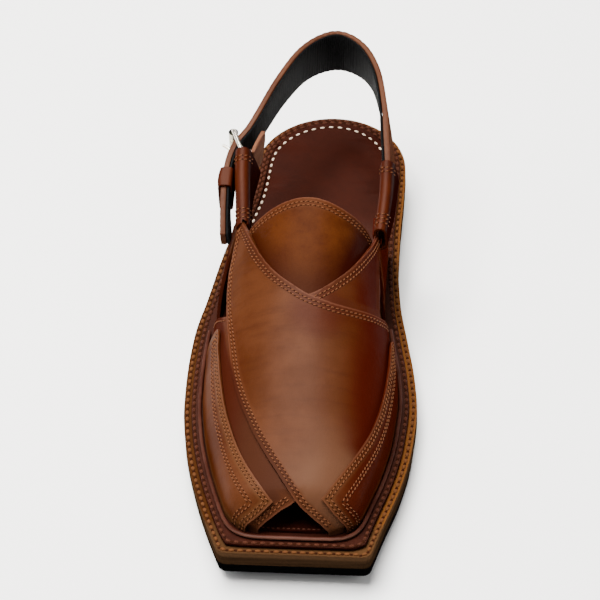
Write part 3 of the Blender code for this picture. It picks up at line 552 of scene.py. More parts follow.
def burnished_leather(name, colours, band, inner_burn_and_shade, outer_shade, under=False):
    """Waxed brown leather, maroon towards the inside of the foot, partly burnished and partly painted shade away from
    the light, with painted shade low at its outer side and round the crossing.

    Where it has an under panel, that gets painted shade, a duller brown beside the over panel's lower edge.
    """
    f = Finish(name)
    x, y, z = f.axis(0), f.axis(1), f.axis(2)
    clouds = f.noise(30.0, 4.0, 0.55, f.place(shift=(0.3, 0.1, 0.0)))
    streaks = f.noise(1.0, 4.0, 0.6, f.place((45.0, 260.0, 60.0)))
    color = f.mix(clouds.step(0.38, 0.62), colours.leather, colours.leather_light)
    color = f.mix(streaks.step(0.45, 0.75) * 0.32, color, colours.leather_deep)
    gloss = f.upward(*SHEEN)
    medial = x.wavy(clouds, 16.0)
    shown = 1.0
    if under:
        below = 1.0 - (x - (y * y * OVER_EDGE_BEND + OVER_EDGE_START)).step(-2.0, 0.0)
        lateral = 1.0 - x.wavy(clouds, 12.0).step(-24.0, 9.0)
        # painted sheen: the over panel's toe, and its inner half, painted paler where the light's reflection falls
        toeward = (PAINTED_SHEEN_TOE - y).wavy(clouds, 10.0).step(0.0, 24.0)
        inner = x.wavy(clouds, 10.0).step(2.0, 16.0) * (INNER_PAINTED_SHEEN - y).step(0.0, 26.0)
        painted_sheen = (toeward * (1.0 - lateral * 0.6) * 0.6 + inner * 0.65).clamped()
        color = f.mix(painted_sheen, color, colours.leather_haze)
        # painted shade over the under panel beside the over panel's lower edge
        color = f.mix(below * 0.9, color, colours.leather_under)
        gloss = gloss * (1.0 - below * 0.7) * (1.0 - lateral * 0.6) * (1.0 - toeward * 0.12)
        medial = medial - toeward * 23.0
        shown = 1.0 - below * (y - UNDER_BAND).step(0.0, 8.0)
    # maroon on the inner side: partly burnished tone, partly painted shade away from the light
    medial = medial.step(17.0, 33.0)
    # painted shade low on the outer side
    outer = (1.0 - x.wavy(clouds, 12.0).step(-34.0, -18.0)) * (1.0 - z.step(44.0, 58.0))
    # painted shade round the place where the panels cross
    from_crossing = ((x - 9.0) ** 2.0 + (y + 33.0) ** 2.0).wavy(clouds, 160.0)
    crossing = (1.0 - from_crossing.step(10.0, 330.0)) * z.step(54.0, 60.0)
    burn_and_shade = (medial * inner_burn_and_shade + outer * outer_shade + crossing * 0.6).clamped()
    color = f.mix(burn_and_shade, color, colours.leather_burnt)
    rim = f.stored("rim").wavy(clouds, 0.5)
    band = f.mix(z.step(58.0, 64.0), band, colours.crossing_band)
    band_share = (1.0 - burn_and_shade * 0.7) * shown * 0.6
    return f.surface(
        base_color=edged(f, color, rim, (3.6, 5.4), band, band_share, colours.leather_fold, shown * 0.5),
        roughness=f.noise(60.0, 4.0, 0.6) * 0.14 + 0.40,
        normal=grain(f, 0.9 * MM, 0.05 * MM, 0.9),
        gloss=gloss * (1.0 - medial * 0.7),
        specular_ior_level=0.06,
        coat_weight=0.024,
        coat_roughness=0.33,
    )


def burnished_tongue(name, colours):
    """The tongue's warmer leather, with painted shade beside the panels that cross over it, partly burnished and
    partly painted shade on its inner side, and a painted highlight on its turned edge.
    """
    f = Finish(name)
    x, y = f.axis(0), f.axis(1)
    clouds = f.noise(40.0, 4.0, 0.6)
    color = mottled(f, clouds.step(0.36, 0.66), f.noise(500.0, 3.0, 0.6), colours.tongue, colours.tongue_deep)
    above = y - ((x - CROSSING_X) ** 2.0 * CROSSING_BEND + CROSSING_Y)
    # painted shade beside the crossing panels
    beside = 1.0 - above.wavy(clouds, 8.0).step(2.0, 24.0)
    # maroon on the inner side: partly burnished tone, partly painted shade away from the light
    burn_and_shade = (beside * 0.8 + x.wavy(clouds, 10.0).step(14.0, 29.0) * 0.7).clamped()
    color = f.mix(burn_and_shade, color, colours.tongue_burnt)
    rim = f.stored("rim").wavy(clouds, 0.4)
    band_share = (1.0 - burn_and_shade * 0.5) * 0.35
    return f.surface(
        base_color=edged(f, color, rim, (4.2, 6.0), colours.leather_band, band_share, colours.leather_fold, 0.6),
        roughness=clouds * 0.12 + 0.42,
        normal=grain(f, 0.9 * MM, 0.06 * MM, 0.3),
        gloss=f.upward(*SHEEN),
        specular_ior_level=0.04,
    )


def cut_leather(name, pale, deep):
    """The raw cut edge of a leather: pale, a little fibrous, dyed here and there."""
    f = Finish(name)
    fibre = f.noise(900.0, 3.0, 0.7)
    patches = f.noise(60.0, 3.0, 0.6, f.place(shift=(0.2, 0.4, 0.0)))
    color = f.mix((fibre.step(0.3, 0.75) * 0.5 + patches.step(0.45, 0.7) * 0.4).clamped(), pale, deep)
    return f.surface(base_color=color, roughness=0.7, normal=f.bump(fibre, 0.06 * MM), specular_ior_level=0.05)


def plain_leather(name, base, deep, roughness, grain_size=0.9, depth=0.04, coat=0.2, flank_shade=None):
    """Evenly dyed leather, with painted shade where asked on the flanks that face the inside of the foot, away from
    the light. Grain and depth are in millimetres.
    """
    f = Finish(name)
    clouds = f.noise(45.0, 4.0, 0.6)
    fine = f.noise(420.0, 3.0, 0.6, f.place(shift=(0.1, 0.7, 0.2)))
    color = mottled(f, clouds.step(0.35, 0.7), fine, base, deep)
    if flank_shade:
        # painted shade: flanks that face the inside of the foot darkened, away from the light
        color = f.mix(f.facing(0).wavy(clouds, 0.3).step(0.35, 0.85) * 0.9, color, flank_shade)
    return f.surface(
        base_color=color,
        roughness=clouds * 0.14 + (roughness - 0.07),
        normal=grain(f, grain_size * MM, depth * MM),
        gloss=f.upward(*SHEEN),
        coat_weight=coat,
        coat_roughness=0.4,
        specular_ior_level=0.04,
    )


def rolled_leather(name, colours):
    """The rolled seam: dark maroon, more coated and with a painted highlight where it turns round the toe."""
    f = Finish(name)
    clouds = f.noise(60.0, 4.0, 0.6)
    # painted highlight on the faces that look forward round the toe
    toe = 1.0 - f.facing(1).step(-0.8, -0.2)
    color = f.mix(clouds.step(0.35, 0.7), colours.roll, colours.welt)
    return f.surface(
        base_color=f.mix(toe, color, colours.roll_light),
        roughness=clouds * 0.14 + 0.38,
        normal=grain(f, 1.4 * MM, 0.06 * MM),
        gloss=f.upward(*SHEEN),
        coat_weight=toe * 0.3 + 0.05,
        coat_roughness=0.35,
        specular_ior_level=0.04,
    )


def stacked_leather(name, colours):
    """The leather midsole: a lacquered amber margin with painted light on its inner side, over a brown side with
    faint layers, paler in its upper half.
    """
    f = Finish(name)
    x, y, z = f.axis(0), f.axis(1), f.axis(2)
    clouds = f.noise(55.0, 4.0, 0.6)
    layers = f.noise(1.0, 3.0, 0.6, f.place((25.0, 25.0, 1300.0)))
    ahead = (SPRING_START - y).most(0.0) * (1 / SPRING_RUN)
    rise = ahead * ahead * TOE_RISE + y.step(HEEL_START, HEEL_END) * HEEL_RISE
    side = f.mix(layers.step(0.35, 0.7), colours.sole_side, colours.sole_side_deep)
    side = f.mix((z - rise).wavy(clouds, 1.2).step(10.2, 12.0), side, colours.sole_side_light)
    top = f.mix(clouds.step(0.35, 0.7), colours.sole_top, colours.sole_top_deep)
    # painted light: the margin painted paler on the inner side
    top = f.mix(x.wavy(clouds, 20.0).step(5.0, 40.0), top, colours.sole_top_light)
    top = f.mix((TOE_MARGIN - y).wavy(clouds, 12.0).step(0.0, 9.0) * 0.85, top, colours.sole_top_toe)
    margin = f.upward(*LACQUER)
    return f.surface(
        base_color=f.mix(margin, side, top),
        roughness=clouds * 0.18 + 0.34,
        normal=f.bump(layers * 0.5 + clouds * 0.4, 0.08 * MM),
        gloss=margin,
        specular_ior_level=0.02,
    )


def rubber(name, base, worn):
    """Black rubber, dusty in places."""
    f = Finish(name)
    dust = f.noise(120.0, 5.0, 0.65)
    color = f.mix(dust.step(0.45, 0.8) * 0.6, base, worn)
    normal = f.bump(f.noise(1400.0, 2.0, 0.5) * 0.5 + dust, 0.08 * MM)
    return f.surface(base_color=color, roughness=dust * 0.1 + 0.9, normal=normal, specular_ior_level=0.0)


def webbing(name, base, light):
    """Black ribbed webbing: upright ribs along the strap, crossed by a fine weave."""
    f = Finish(name)
    rib = (f.stored("run") * (2 * math.pi / RIB_PITCH)).math("SINE") * 0.5 + 0.5
    weave = (f.axis(2) * (2 * math.pi / WEAVE_PITCH)).math("SINE") * 0.5 + 0.5
    fuzz = f.noise(900.0, 3.0, 0.6)
    height = rib * 0.8 + weave * 0.35 + fuzz * 0.35
    color = f.mix((rib * 0.5 + fuzz.step(0.35, 0.8) * 0.5).clamped(), base, light)
    return f.surface(base_color=color, roughness=0.8, normal=f.bump(height, 0.22 * MM), specular_ior_level=0.1)


def napped(name, base, deep):
    """Suede: a short nap with no gloss."""
    f = Finish(name)
    nap = f.noise(1500.0, 4.0, 0.7)
    strokes = f.noise(90.0, 3.0, 0.6, f.place((1.0, 1.0, 2.2)))
    color = f.mix((nap.step(0.3, 0.8) * 0.5 + strokes.step(0.4, 0.7) * 0.5).clamped(), base, deep)
    return f.surface(base_color=color, roughness=0.95, normal=f.bump(nap, 0.12 * MM), specular_ior_level=0.1)


def plated(name, base, dull, ends=0.0):
    """Nickel plate with faint scratches and a little tarnish, and where asked painted shade in black on its upright
    ends.
    """
    f = Finish(name)
    scratches = f.noise(1.0, 3.0, 0.6, f.place((300.0, 2200.0, 300.0)))
    tarnish = f.noise(220.0, 4.0, 0.6)
    color = f.mix(tarnish.step(0.5, 0.8) * 0.6, base, dull)
    return f.surface(
        base_color=f.mix(f.upward(0.3, 0.7) * ends, color, PAINTED_END_SHADE),
        metallic=1.0,
        roughness=tarnish * 0.2 + scratches * 0.1 + 0.1,
        normal=f.bump(scratches, 0.01 * MM),
    )


def thread(name, base, deep):
    """Waxed thread with a fine twist."""
    f = Finish(name)
    twist = f.noise(2600.0, 2.0, 0.5)
    color = f.mix(twist.step(0.3, 0.75), base, deep)
    return f.surface(base_color=color, roughness=0.7, normal=f.bump(twist, 0.05 * MM), specular_ior_level=0.04)


# ---------------------------------------------------------------- what a user would change

COLOURS = {
    # name: what it is for, and its red, green and blue
    "leather": ("Main brown of the upper", (0.033, 0.0084, 0.0021)),
    "leather_light": ("Lighter clouds in the upper", (0.046, 0.0136, 0.0045)),
    "leather_deep": ("Darker streaks in the upper", (0.02, 0.0042, 0.0014)),
    # partly burnished tone, partly painted shade at the sides and round the crossing
    "leather_burnt": ("Burnished maroon at sides and edges", (0.0235, 0.0016, 0.0004)),
    "leather_band": ("Warmer band under the stitches", (0.05, 0.0155, 0.0058)),
    # painted sheen on the over panel's toe, where the light's reflection falls
    "leather_haze": ("Rubbed toe of the over panel", (0.056, 0.023, 0.0116)),
    # painted shade over the under panel
    "leather_under": ("Duller brown of the panel under the crossing", (0.0255, 0.008, 0.0042)),
    "crossing_band": ("Red-brown band along the upper edges", (0.025, 0.0056, 0.0026)),
    "wing_band": ("Golden band under the stitches of the wings", (0.054, 0.0215, 0.008)),
    # painted highlight along the turned edges
    "leather_fold": ("Pale line along the turned edges", (0.075, 0.026, 0.014)),
    "loop": ("Redder leather of the side loops and keeper", (0.03, 0.005, 0.0012)),
    "loop_deep": ("Darker places of the side loops", (0.019, 0.003, 0.0011)),
    # painted shade on the loops' inner flanks
    "loop_burnt": ("Dark flanks of the side loops", (0.0075, 0.0008, 0.0006)),
    "tongue": ("Warm brown of the tongue", (0.043, 0.0108, 0.0021)),
    # painted shade beside the crossing, partly burnished tone on the inner side
    "tongue_burnt": ("Burnished maroon beside the crossing", (0.0125, 0.0012, 0.0004)),
    "tongue_deep": ("Darker places of the tongue", (0.023, 0.0043, 0.001)),
    "leather_edge": ("Raw cut edge of the upper", (0.13, 0.046, 0.027)),
    "leather_edge_deep": ("Dyed places of the cut edge", (0.065, 0.018, 0.01)),
    "lining": ("Flesh side of the upper", (0.05, 0.017, 0.008)),
    "footbed": ("Dark maroon of the insole", (0.0165, 0.0026, 0.0012)),
    "footbed_deep": ("Darker clouds of the insole", (0.0105, 0.0017, 0.0009)),
    "welt": ("Dark maroon of welt and rolled seam", (0.0195, 0.0042, 0.0022)),
    "welt_deep": ("Darker places of the welt", (0.0085, 0.002, 0.0014)),
    "roll": ("Maroon of the rolled seam", (0.036, 0.011, 0.0068)),
    # painted highlight on the rolled seam's toe
    "roll_light": ("Rubbed toe of the rolled seam", (0.07, 0.028, 0.0185)),
    "lip_thread": ("Thread across the opening at the toe", (0.075, 0.026, 0.018)),
    "sole_top": ("Amber margin of the leather sole", (0.032, 0.0103, 0.0023)),
    # painted light on the margin's inner side
    "sole_top_light": ("Paler margin on the inner side", (0.075, 0.026, 0.0058)),
    "sole_top_deep": ("Darker places of that margin", (0.02, 0.006, 0.0015)),
    "sole_top_toe": ("Olive margin at the toe", (0.035, 0.0165, 0.0068)),
    "sole_side": ("Side of the leather sole", (0.0215, 0.0112, 0.0055)),
    "sole_side_light": ("Upper half of that side", (0.04, 0.0205, 0.01)),
    "sole_side_deep": ("Darker layers of that side", (0.012, 0.0062, 0.003)),
    "strap": ("Outer leather of the heel strap", (0.06, 0.0225, 0.0115)),
    "strap_deep": ("Darker places of the heel strap", (0.034, 0.0105, 0.0055)),
    "strap_edge": ("Cut edge of the heel strap", (0.125, 0.06, 0.044)),
    "strap_edge_deep": ("Darker places of that edge", (0.062, 0.024, 0.017)),
    "webbing": ("Lining of the heel strap", (0.0004, 0.0004, 0.0005)),
    "webbing_light": ("Raised ribs of that lining", (0.0014, 0.0015, 0.0018)),
    "suede": ("Tab behind the buckle", (0.115, 0.046, 0.024)),
    "suede_deep": ("Darker nap of that tab", (0.07, 0.025, 0.013)),
    "nickel": ("Plate of the buckle", (0.78, 0.72, 0.62)),
    "nickel_dull": ("Tarnish of the buckle", (0.34, 0.32, 0.25)),
    "rubber": ("Outsole and heel", (0.0008, 0.0008, 0.0009)),
    "rubber_worn": ("Dust on the rubber", (0.0024, 0.0023, 0.0022)),
    "thread": ("Thread of the upper", (0.104, 0.0385, 0.0165)),
    "thread_deep": ("Twist of that thread", (0.068, 0.0225, 0.009)),
    "welt_thread": ("Thread of the welt", (0.055, 0.0165, 0.0078)),
    "sole_thread": ("Thread of the sole's margin", (0.066, 0.025, 0.0068)),
    "bed_thread": ("Thread of the insole", (0.5, 0.42, 0.33)),
    "bed_thread_deep": ("Twist of that thread", (0.3, 0.21, 0.15)),
    # painted shade: the dark inside the needle holes
    "hole": ("Dark of the holes between stitches", (0.014, 0.0036, 0.0015)),
    "floor": ("Pale floor", (0.96, 0.955, 0.95)),
}
SIZES = {
    # name: what it is, in millimetres
    "stitch": ("Length of a stitch of the upper", 1.55),
    "pitch": ("From one stitch of the upper to the next", 2.3),
    "width": ("Width of the thread of the upper", 0.66),
    "sole_stitch": ("Length of a stitch of sole and welt", 2.7),
    "sole_pitch": ("From one stitch of the sole to the next", 4.0),
    "sole_width": ("Width of the thread of sole and welt", 1.85),
}


def labelled(kind, key, description, **settings):
    return kind(name=key.replace("_", " ").capitalize(), description=description, **settings)


def colour(key, description, value):
    kind = bpy.props.FloatVectorProperty
    return labelled(kind, key, description, default=value, subtype="COLOR", size=3, min=0.0, max=1.0)


def length(key, description, value):
    return labelled(bpy.props.FloatProperty, key, description, default=value * MM, subtype="DISTANCE", unit="LENGTH")


class ChappalColours(bpy.types.PropertyGroup):
    """The colours of the leathers, threads and metal."""


class ChappalSizes(bpy.types.PropertyGroup):
    """The sizes of the sewing."""


ChappalColours.__annotations__ = {key: colour(key, *row) for key, row in COLOURS.items()}
ChappalSizes.__annotations__ = {key: length(key, *row) for key, row in SIZES.items()}


# ---------------------------------------------------------------- pieces

UPPER_THICK = 5.4 * MM          # through no more than this the other face of a leather is looked for
TONGUE_THICK = 3.0 * MM
WING_THICK = 2.4 * MM
STRAP_THICK = 3.6 * MM
UP = 0.7                        # the least rise of a face that counts as a top, and of one on the strap's edge
EDGE_UP = 0.8
STRAP_EDGE = ((38, 20, 66), (0, 137, 86), (-38, 60, 76))    # along the lining's upper edge, in millimetres


def is_top(face):
    return face.normal.z > UP


def leather_face(piece, middle, thickest):
    """A test for the outer faces of a merged leather piece."""
    tree = tree_of(piece)

    def outer(face):
        centre = face.calc_center_median()
        if face.normal.dot(centre - middle(centre)) <= 0:
            return False
        return tree.ray_cast(centre - face.normal * MERGE, -face.normal, thickest)[0] is not None

    return outer


def leather_piece(node, name, slot, middle, thickest, materials, crease=0.75):
    """A softened leather piece with its outside, inside and cut edge told apart."""
    piece = merged_copy(node, name)
    rims[name] = Rim(piece, leather_face(piece, middle, thickest))
    softened(piece, crease)
    sort_faces(piece, middle, thickest)
    mark_rim(piece)
    dress(piece, *materials)
    return finish(piece, slot, node)


def plain_piece(node, name, slot, materials, top=None, **softness):
    """A softened piece. With a test for top faces, the rim of those is kept for sewing."""
    piece = merged_copy(node, name)
    if top:
        rims[name] = Rim(piece, top)
    softened(piece, **softness)
    dress(piece, *materials)
    return finish(piece, slot, node)


def mark_run(piece, line):
    """Stores on each corner how far along a line it lies, in millimetres."""
    run = run_along(line)
    tree = places_tree((index, Vector((*point[:2], 0.0))) for index, point in enumerate(line))
    values = [run[tree.find(Vector((*vertex.co.xy, 0.0)))[1]] / MM for vertex in piece.data.vertices]
    piece.data.attributes.new("run", "FLOAT", "POINT").data.foreach_set("value", values)


def make_sole(colours):
    """Rubber outsole and heel, leather midsole, welt and rolled seam."""
    black = rubber("black_rubber_finish", colours.rubber, colours.rubber_worn)
    for node, name in (("outsole", "outsole_rubber"), ("heel", "heel_lift")):
        plain_piece(node, name, "black_rubber", (black,), crease=1.0)
    amber = stacked_leather("sole_leather_finish", colours)
    plain_piece("midsole", "leather_sole", "sole_leather", (amber,), is_top, crease=1.0)
    maroon = plain_leather("welt_finish", colours.welt, colours.welt_deep, 0.5, grain_size=1.1, depth=0.08, coat=0.03)
    plain_piece("welt", "welt_strip", "welt_leather", (maroon,), is_top, crease=0.8)
    roll = rolled_leather("rolled_seam_finish", colours)
    plain_piece("toe_roll", "rolled_seam", "welt_leather", (roll,), crease=0.6, levels=1, sharp=75.0)


def make_footbed(colours):
    """The insole."""
    tones = (colours.footbed, colours.footbed_deep)
    maroon = plain_leather("footbed_finish", *tones, 0.5, grain_size=0.8, depth=0.03, coat=0.03)
    plain_piece("insole", "footbed", "footbed_leather", (maroon,), is_top, crease=0.7)


def make_upper(colours):
    """The crossed panels, the tongue and the two wings."""
    brown = burnished_leather("vamp_finish", colours, colours.leather_band, 0.95, 0.55, under=True)
    golden = burnished_leather("wing_finish", colours, colours.wing_band, 0.8, 0.15)
    edge = cut_leather("cut_edge_finish", colours.leather_edge, colours.leather_edge_deep)
    tones = (colours.lining, colours.leather_deep)
    lining = plain_leather("lining_finish", *tones, 0.7, grain_size=0.6, depth=0.05, coat=0.0)
    tongue = burnished_tongue("tongue_finish", colours)
    for node, name, outside, thickest in (
        ("upper", "vamp", brown, UPPER_THICK),
        ("tongue", "tongue_flap", tongue, TONGUE_THICK),
        ("wing_lateral", "wing_outer", golden, WING_THICK),
        ("wing_medial", "wing_inner", golden, WING_THICK),
    ):
        leather_piece(node, name, "vamp_leather", foot_middle, thickest, (outside, lining, edge))


def make_side_loops(colours):
    """The rolled loops at both sides, the keeper and the suede tab behind the buckle."""
    tones = (colours.loop, colours.loop_deep)
    brown = plain_leather("loop_finish", *tones, 0.42, depth=0.05, coat=0.03, flank_shade=colours.loop_burnt)
    edge = bpy.data.materials["cut_edge_finish"]
    for node, name in (
        ("side_loop_lateral", "loop_outer"),
        ("side_loop_medial", "loop_inner"),
        ("keeper", "keeper_band"),
    ):
        plain_piece(node, name, "vamp_leather", (brown, edge), crease=0.7, sharp=40.0)
    suede = napped("suede_finish", colours.suede, colours.suede_deep)
    plain_piece("buckle_guard", "suede_tab", "suede", (suede,), crease=0.8)


def make_heel_strap(colours):
    """The strap round the heel and its ribbed lining."""
    leather = plain_leather("strap_finish", colours.strap, colours.strap_deep, 0.5, depth=0.05, coat=0.05)
    edge = cut_leather("strap_edge_finish", colours.strap_edge, colours.strap_edge_deep)
    materials = (leather, leather, edge)
    leather_piece("heel_strap", "strap_band", "strap_leather", ankle_middle, STRAP_THICK, materials, crease=0.85)
    cloth = webbing("webbing_finish", colours.webbing, colours.webbing_light)
    upper_edge = lambda face: face.normal.z > EDGE_UP
    lining = plain_piece("strap_lining", "strap_webbing", "black_webbing", (cloth,), upper_edge, crease=0.9)
    mark_run(lining, rim_line(rims["strap_webbing"].walk(*STRAP_EDGE))[0])


def make_buckle(colours):
    """The buckle's wire, pin and roller."""
    nickel = plated("nickel_finish", colours.nickel, colours.nickel_dull)
    for node, name in (("buckle_frame", "buckle_wire"), ("buckle_prong", "buckle_pin")):
        plain_piece(node, name, "nickel", (nickel,), crease=0.7, sharp=70.0)
    # painted shade in black on the roller's ends, for the dark inside of the tube
    tube = plated("roller_finish", colours.nickel_dull, colours.nickel_dull, ends=1.0)
    plain_piece("buckle_roller", "buckle_roller_tube", "nickel", (tube,), crease=1.0, sharp=70.0, smooth=40.0)


# ---------------------------------------------------------------- sewing

UPPER_LIFT = 0.10 * MM          # the middle of a stitch over its leather
SOLE_LIFT = 0.12 * MM
HOLE_LIFT = 0.02 * MM
SLANT = math.radians(18)        # of the upper's stitches in their rows
FINE_HEIGHT = 0.9               # of its width, for a stitch of the upper
COARSE_HEIGHT = 0.7
BED_STITCH = (2.4, 1.25, 0.7)   # length, width and height in millimetres
# dark discs of painted shade standing for the needle holes
NEEDLE_HOLE = (0.7, 0.7, 0.2)
AWL_HOLE = (1.7, 1.5, 0.3)

# Stops of the walks along the rims, in millimetres.
OVER_UPPER = ((-31, 21, 67), (-21, -3, 72), (-5, -22, 71), (16, -31, 67), (34, -27, 56), (41, -18, 40))
OVER_LOWER = (
    (-34, 21, 62), (-37, -8, 53), (-33, -46, 50), (-21, -85, 46), (-5, -115, 43), (4, -128, 39), (18, -135, 26),
)
UNDER_UPPER = ((34, 22, 60), (29, 2, 67), (14, -20, 70), (5, -26, 69))
UNDER_SIDE = ((-36, -24, 48), (-40, -17, 40), (-44, -8, 27))
UNDER_TOE = ((4, -127, 37), (-3, -130, 34), (-12, -134, 26))
TONGUE = ((-28, 17, 65), (-15, 20, 79), (-1, 20, 86), (10, 19, 85), (25, 17, 74), (32, 17, 59))
WINGS = {
    # piece: its long side from the heel end to the toe, then its toe end
    "wing_outer": (
        ((-40, -29, 45), (-37, -52, 44), (-30, -83, 42), (-20, -109, 41), (-6, -128, 38)),
        ((-6, -128, 38), (-11, -132, 33), (-17, -133, 28), (-19, -134, 22)),
    ),
    "wing_inner": (
        ((43, -29, 40), (43, -49, 42), (37, -86, 41), (25, -113, 42), (16, -127, 40)),
        ((16, -127, 40), (21, -130, 34), (25, -132, 29), (28, -132, 22)),
    ),
}
SOLE_RIM = ((0, -145, 21), (-55, -20, 14), (-42, 60, 14), (0, 145, 14), (44, 60, 14), (55, -20, 14), (0, -145, 21))
WELT_RIM = ((0, -141, 23), (-51, -20, 16), (-39, 60, 16), (0, 142, 16), (41, 60, 16), (51, -20, 16), (0, -141, 23))
SEAT_RIM = ((-40, 45, 20), (-34, 75, 24), (0, 142, 24), (40, 75, 24), (41, 45, 21))
BED_RIM = ((-33, 45, 18), (-34, 90, 22), (0, 138, 24), (38, 90, 22), (36, 45, 18))
LIP_RIM = ((-22, -134, 23), (5, -136, 24), (30, -134, 23))

# How far rows lie from their rim, in millimetres.
PANEL_INSETS = (2.2, 4.0)
FRONT_INSETS = (1.9, 3.5)
SIDE_INSETS = (2.0,)
TONGUE_INSETS = (2.4, 4.2)
WING_INSETS = (1.6, 3.2)
WING_INNER = ((4.6, 8.4, 6.2), (6.0, 10.0, 7.8))    # at the heel end, at the toe, and along the toe end
SOLE_INSET, WELT_INSET, SEAT_INSET, LIP_INSET = 1.7, 1.3, 2.9, 1.2
BED_INSETS = (1.2, 1.2, 1.2, 3.2, 3.4, 3.4, 3.4, 3.0)
LOOP_ROWS = {
    # piece: the ends of the line along its rounded top, and the rows from either end, in millimetres
    "loop_outer": ((-30.9, 23.0, 64.5), (-33.5, 58.0, 74.5), (1.6, 4.0, 6.4), (1.0, 3.2)),
    "loop_inner": ((35.5, 22.0, 64.5), (36.7, 54.5, 73.0), (1.4, 3.8, 6.2), (1.0, 3.2)),
}
LOOP_REACH = 105.0              # degrees from the top down either side of a loop
LOOP_TURN = 5.0
LOOP_PROBE = 12                 # millimetres from the middle of a loop outwards, where the look back at it starts
LOOP_LOOK = 20 * MM


def base_stitch(name, long, wide, high):
    """One rounded stitch, lying along X."""
    deselect()
    bpy.ops.mesh.primitive_uv_sphere_add(segments=8, ring_count=6, radius=0.5)
    piece = bpy.context.object
    piece.name = name
    bpy.ops.object.mode_set(mode="EDIT")
    bpy.ops.mesh.select_all(action="SELECT")
    bpy.ops.transform.rotate(value=math.pi / 2, orient_axis="Y", center_override=(0, 0, 0))
    bpy.ops.transform.resize(value=(long, wide, high))
    bpy.ops.object.mode_set(mode="OBJECT")
    bpy.ops.object.shade_smooth()
    return piece


def sew(name, places, pattern_piece, lift, material, slot, tilt=0.0):
    """Copies of a small piece at all places, joined into one piece."""
    turn = Matrix.Rotation(tilt, 4, "Z")
    rise = Matrix.Translation((0, 0, lift))
    copies = []
    for place in places:
        copy = bpy.data.objects.new(name, pattern_piece.data.copy())
        copy.data.transform(place @ rise @ turn)
        bpy.context.collection.objects.link(copy)
        copies.append(copy)
    deselect()
    for copy in copies:
        copy.select_set(True)
    bpy.context.view_layer.objects.active = copies[0]
    bpy.ops.object.join()
    piece = copies[0]
    piece.name = name
    dress(piece, material)
    return finish(piece, slot)


def sew_row(name, places, pitch, stitch, lift, material, hole, hole_shade_material, slot, tilt=0.0):
    """A group of rows: stitches at their places, and dark needle holes of painted shade half-way between them."""
    sew(name, places, stitch, lift, material, slot, tilt)
    between = Matrix.Translation((pitch / 2, 0, 0))
    sew(name.replace("thread", "holes"), [place @ between for place in places], hole, HOLE_LIFT, hole_shade_material, slot)


def round_row(surface, centre, along):
    """A line over the rounded top of a loop, at right angles to its length."""
    across = along.cross(Vector((0, 0, 1))).normalized()
    up = across.cross(along).normalized()
    placed, facing = [], []
    for turn in np.radians(np.arange(-LOOP_REACH, LOOP_REACH + 1, LOOP_TURN)):
        way = up * math.cos(turn) + across * math.sin(turn)
        hit, normal, _, _ = surface.ray_cast(centre + way * LOOP_PROBE * MM, -way, LOOP_LOOK)
        if hit is not None:
            placed.append(hit)
            facing.append(normal)
    return np.array(placed), np.array(facing), np.full(len(placed), True)


def loop_rows(sizes):
    """Stitch places over both ends of the side loops."""
    places = {}
    for name, (front, back, front_rows, back_rows) in LOOP_ROWS.items():
        surface = tree_of(made[name])
        front, back = Vector(front) * MM, Vector(back) * MM
        along = (back - front).normalized()
        stations = [front + along * at * MM for at in front_rows] + [back - along * at * MM for at in back_rows]
        group = places.setdefault(f"{name}_thread", [])
        for centre in stations:
            group.extend(places_along(*round_row(surface, centre, along), sizes.pitch))
    return places


def upper_rows(sizes):
    """Stitch places on the upper, wings and tongue, for each piece."""
    places = {}
    surfaces = {name: tree_of(made[name], OUTSIDE) for name in ("vamp", "tongue_flap", "wing_outer", "wing_inner")}

    def rows(name, line, insets, clear=(), ends=(0, 0)):
        """Rows on a piece at several insets, which keep clear of other lines and stop short of their ends."""
        group = places.setdefault(f"{name.removesuffix('_flap')}_thread", [])
        for inset in insets:
            placed, facing, kept = inset_line(line, surfaces[name], inset, clear)
            first, last = (int(end * MM / PATH_STEP) for end in ends)
            kept[:first] = False
            kept[len(kept) - last :] = False
            group.extend(places_along(placed, facing, kept, sizes.pitch))

    over_upper, over_lower, under_upper, under_side, under_toe = (
        rim_line(rims["vamp"].walk(*stops)) for stops in (OVER_UPPER, OVER_LOWER, UNDER_UPPER, UNDER_SIDE, UNDER_TOE)
    )
    rows("vamp", over_upper, PANEL_INSETS, ((over_lower, 2.0),), (1, 1))
    rows("vamp", over_lower, FRONT_INSETS, ((over_upper, 2.0),), (1, 1))
    rows("vamp", under_upper, PANEL_INSETS, ((over_upper, 1.0),), (1, 0))
    rows("vamp", under_side, SIDE_INSETS, ((over_lower, 1.5),))
    rows("vamp", under_toe, FRONT_INSETS, ((over_lower, 1.0),))
    rows("tongue_flap", rim_line(rims["tongue_flap"].walk(*TONGUE)), TONGUE_INSETS)
    for name, stops in WINGS.items():
        side, toe = (rim_line(rims[name].walk(*line)) for line in stops)
        for inset in WING_INSETS:
            rows(name, side, (inset,), ((toe, inset),))
            rows(name, toe, (inset,), ((side, inset),))
        for start, end, heel in WING_INNER:
            rows(name, side, ((start, end),), ((toe, heel),), (2, 0))
            rows(name, toe, (heel,), ((side, end - 0.3),))
    return places


def sole_rows(sizes):
    """Stitch places round the sole's margin, on the welt and round the heel of the footbed, with their pitch."""
    groups = (
        ("sole_thread", "leather_sole", SOLE_RIM, SOLE_INSET, sizes.sole_pitch, True),
        ("welt_thread", "welt_strip", WELT_RIM, WELT_INSET, sizes.sole_pitch, True),
        ("seat_thread", "welt_strip", SEAT_RIM, SEAT_INSET, sizes.sole_pitch, False),
        ("bed_thread", "footbed", BED_RIM, BED_INSETS, BED_PITCH, False),
        ("lip_thread", "footbed", LIP_RIM, LIP_INSET, sizes.pitch, False),
    )
    for name, piece, stops, inset, pitch, closed in groups:
        line = rim_line(rims[piece].walk(*stops), closed)
        row = inset_line(line, tree_of(made[piece]), inset, (), closed)
        yield name, places_along(*row, pitch), pitch


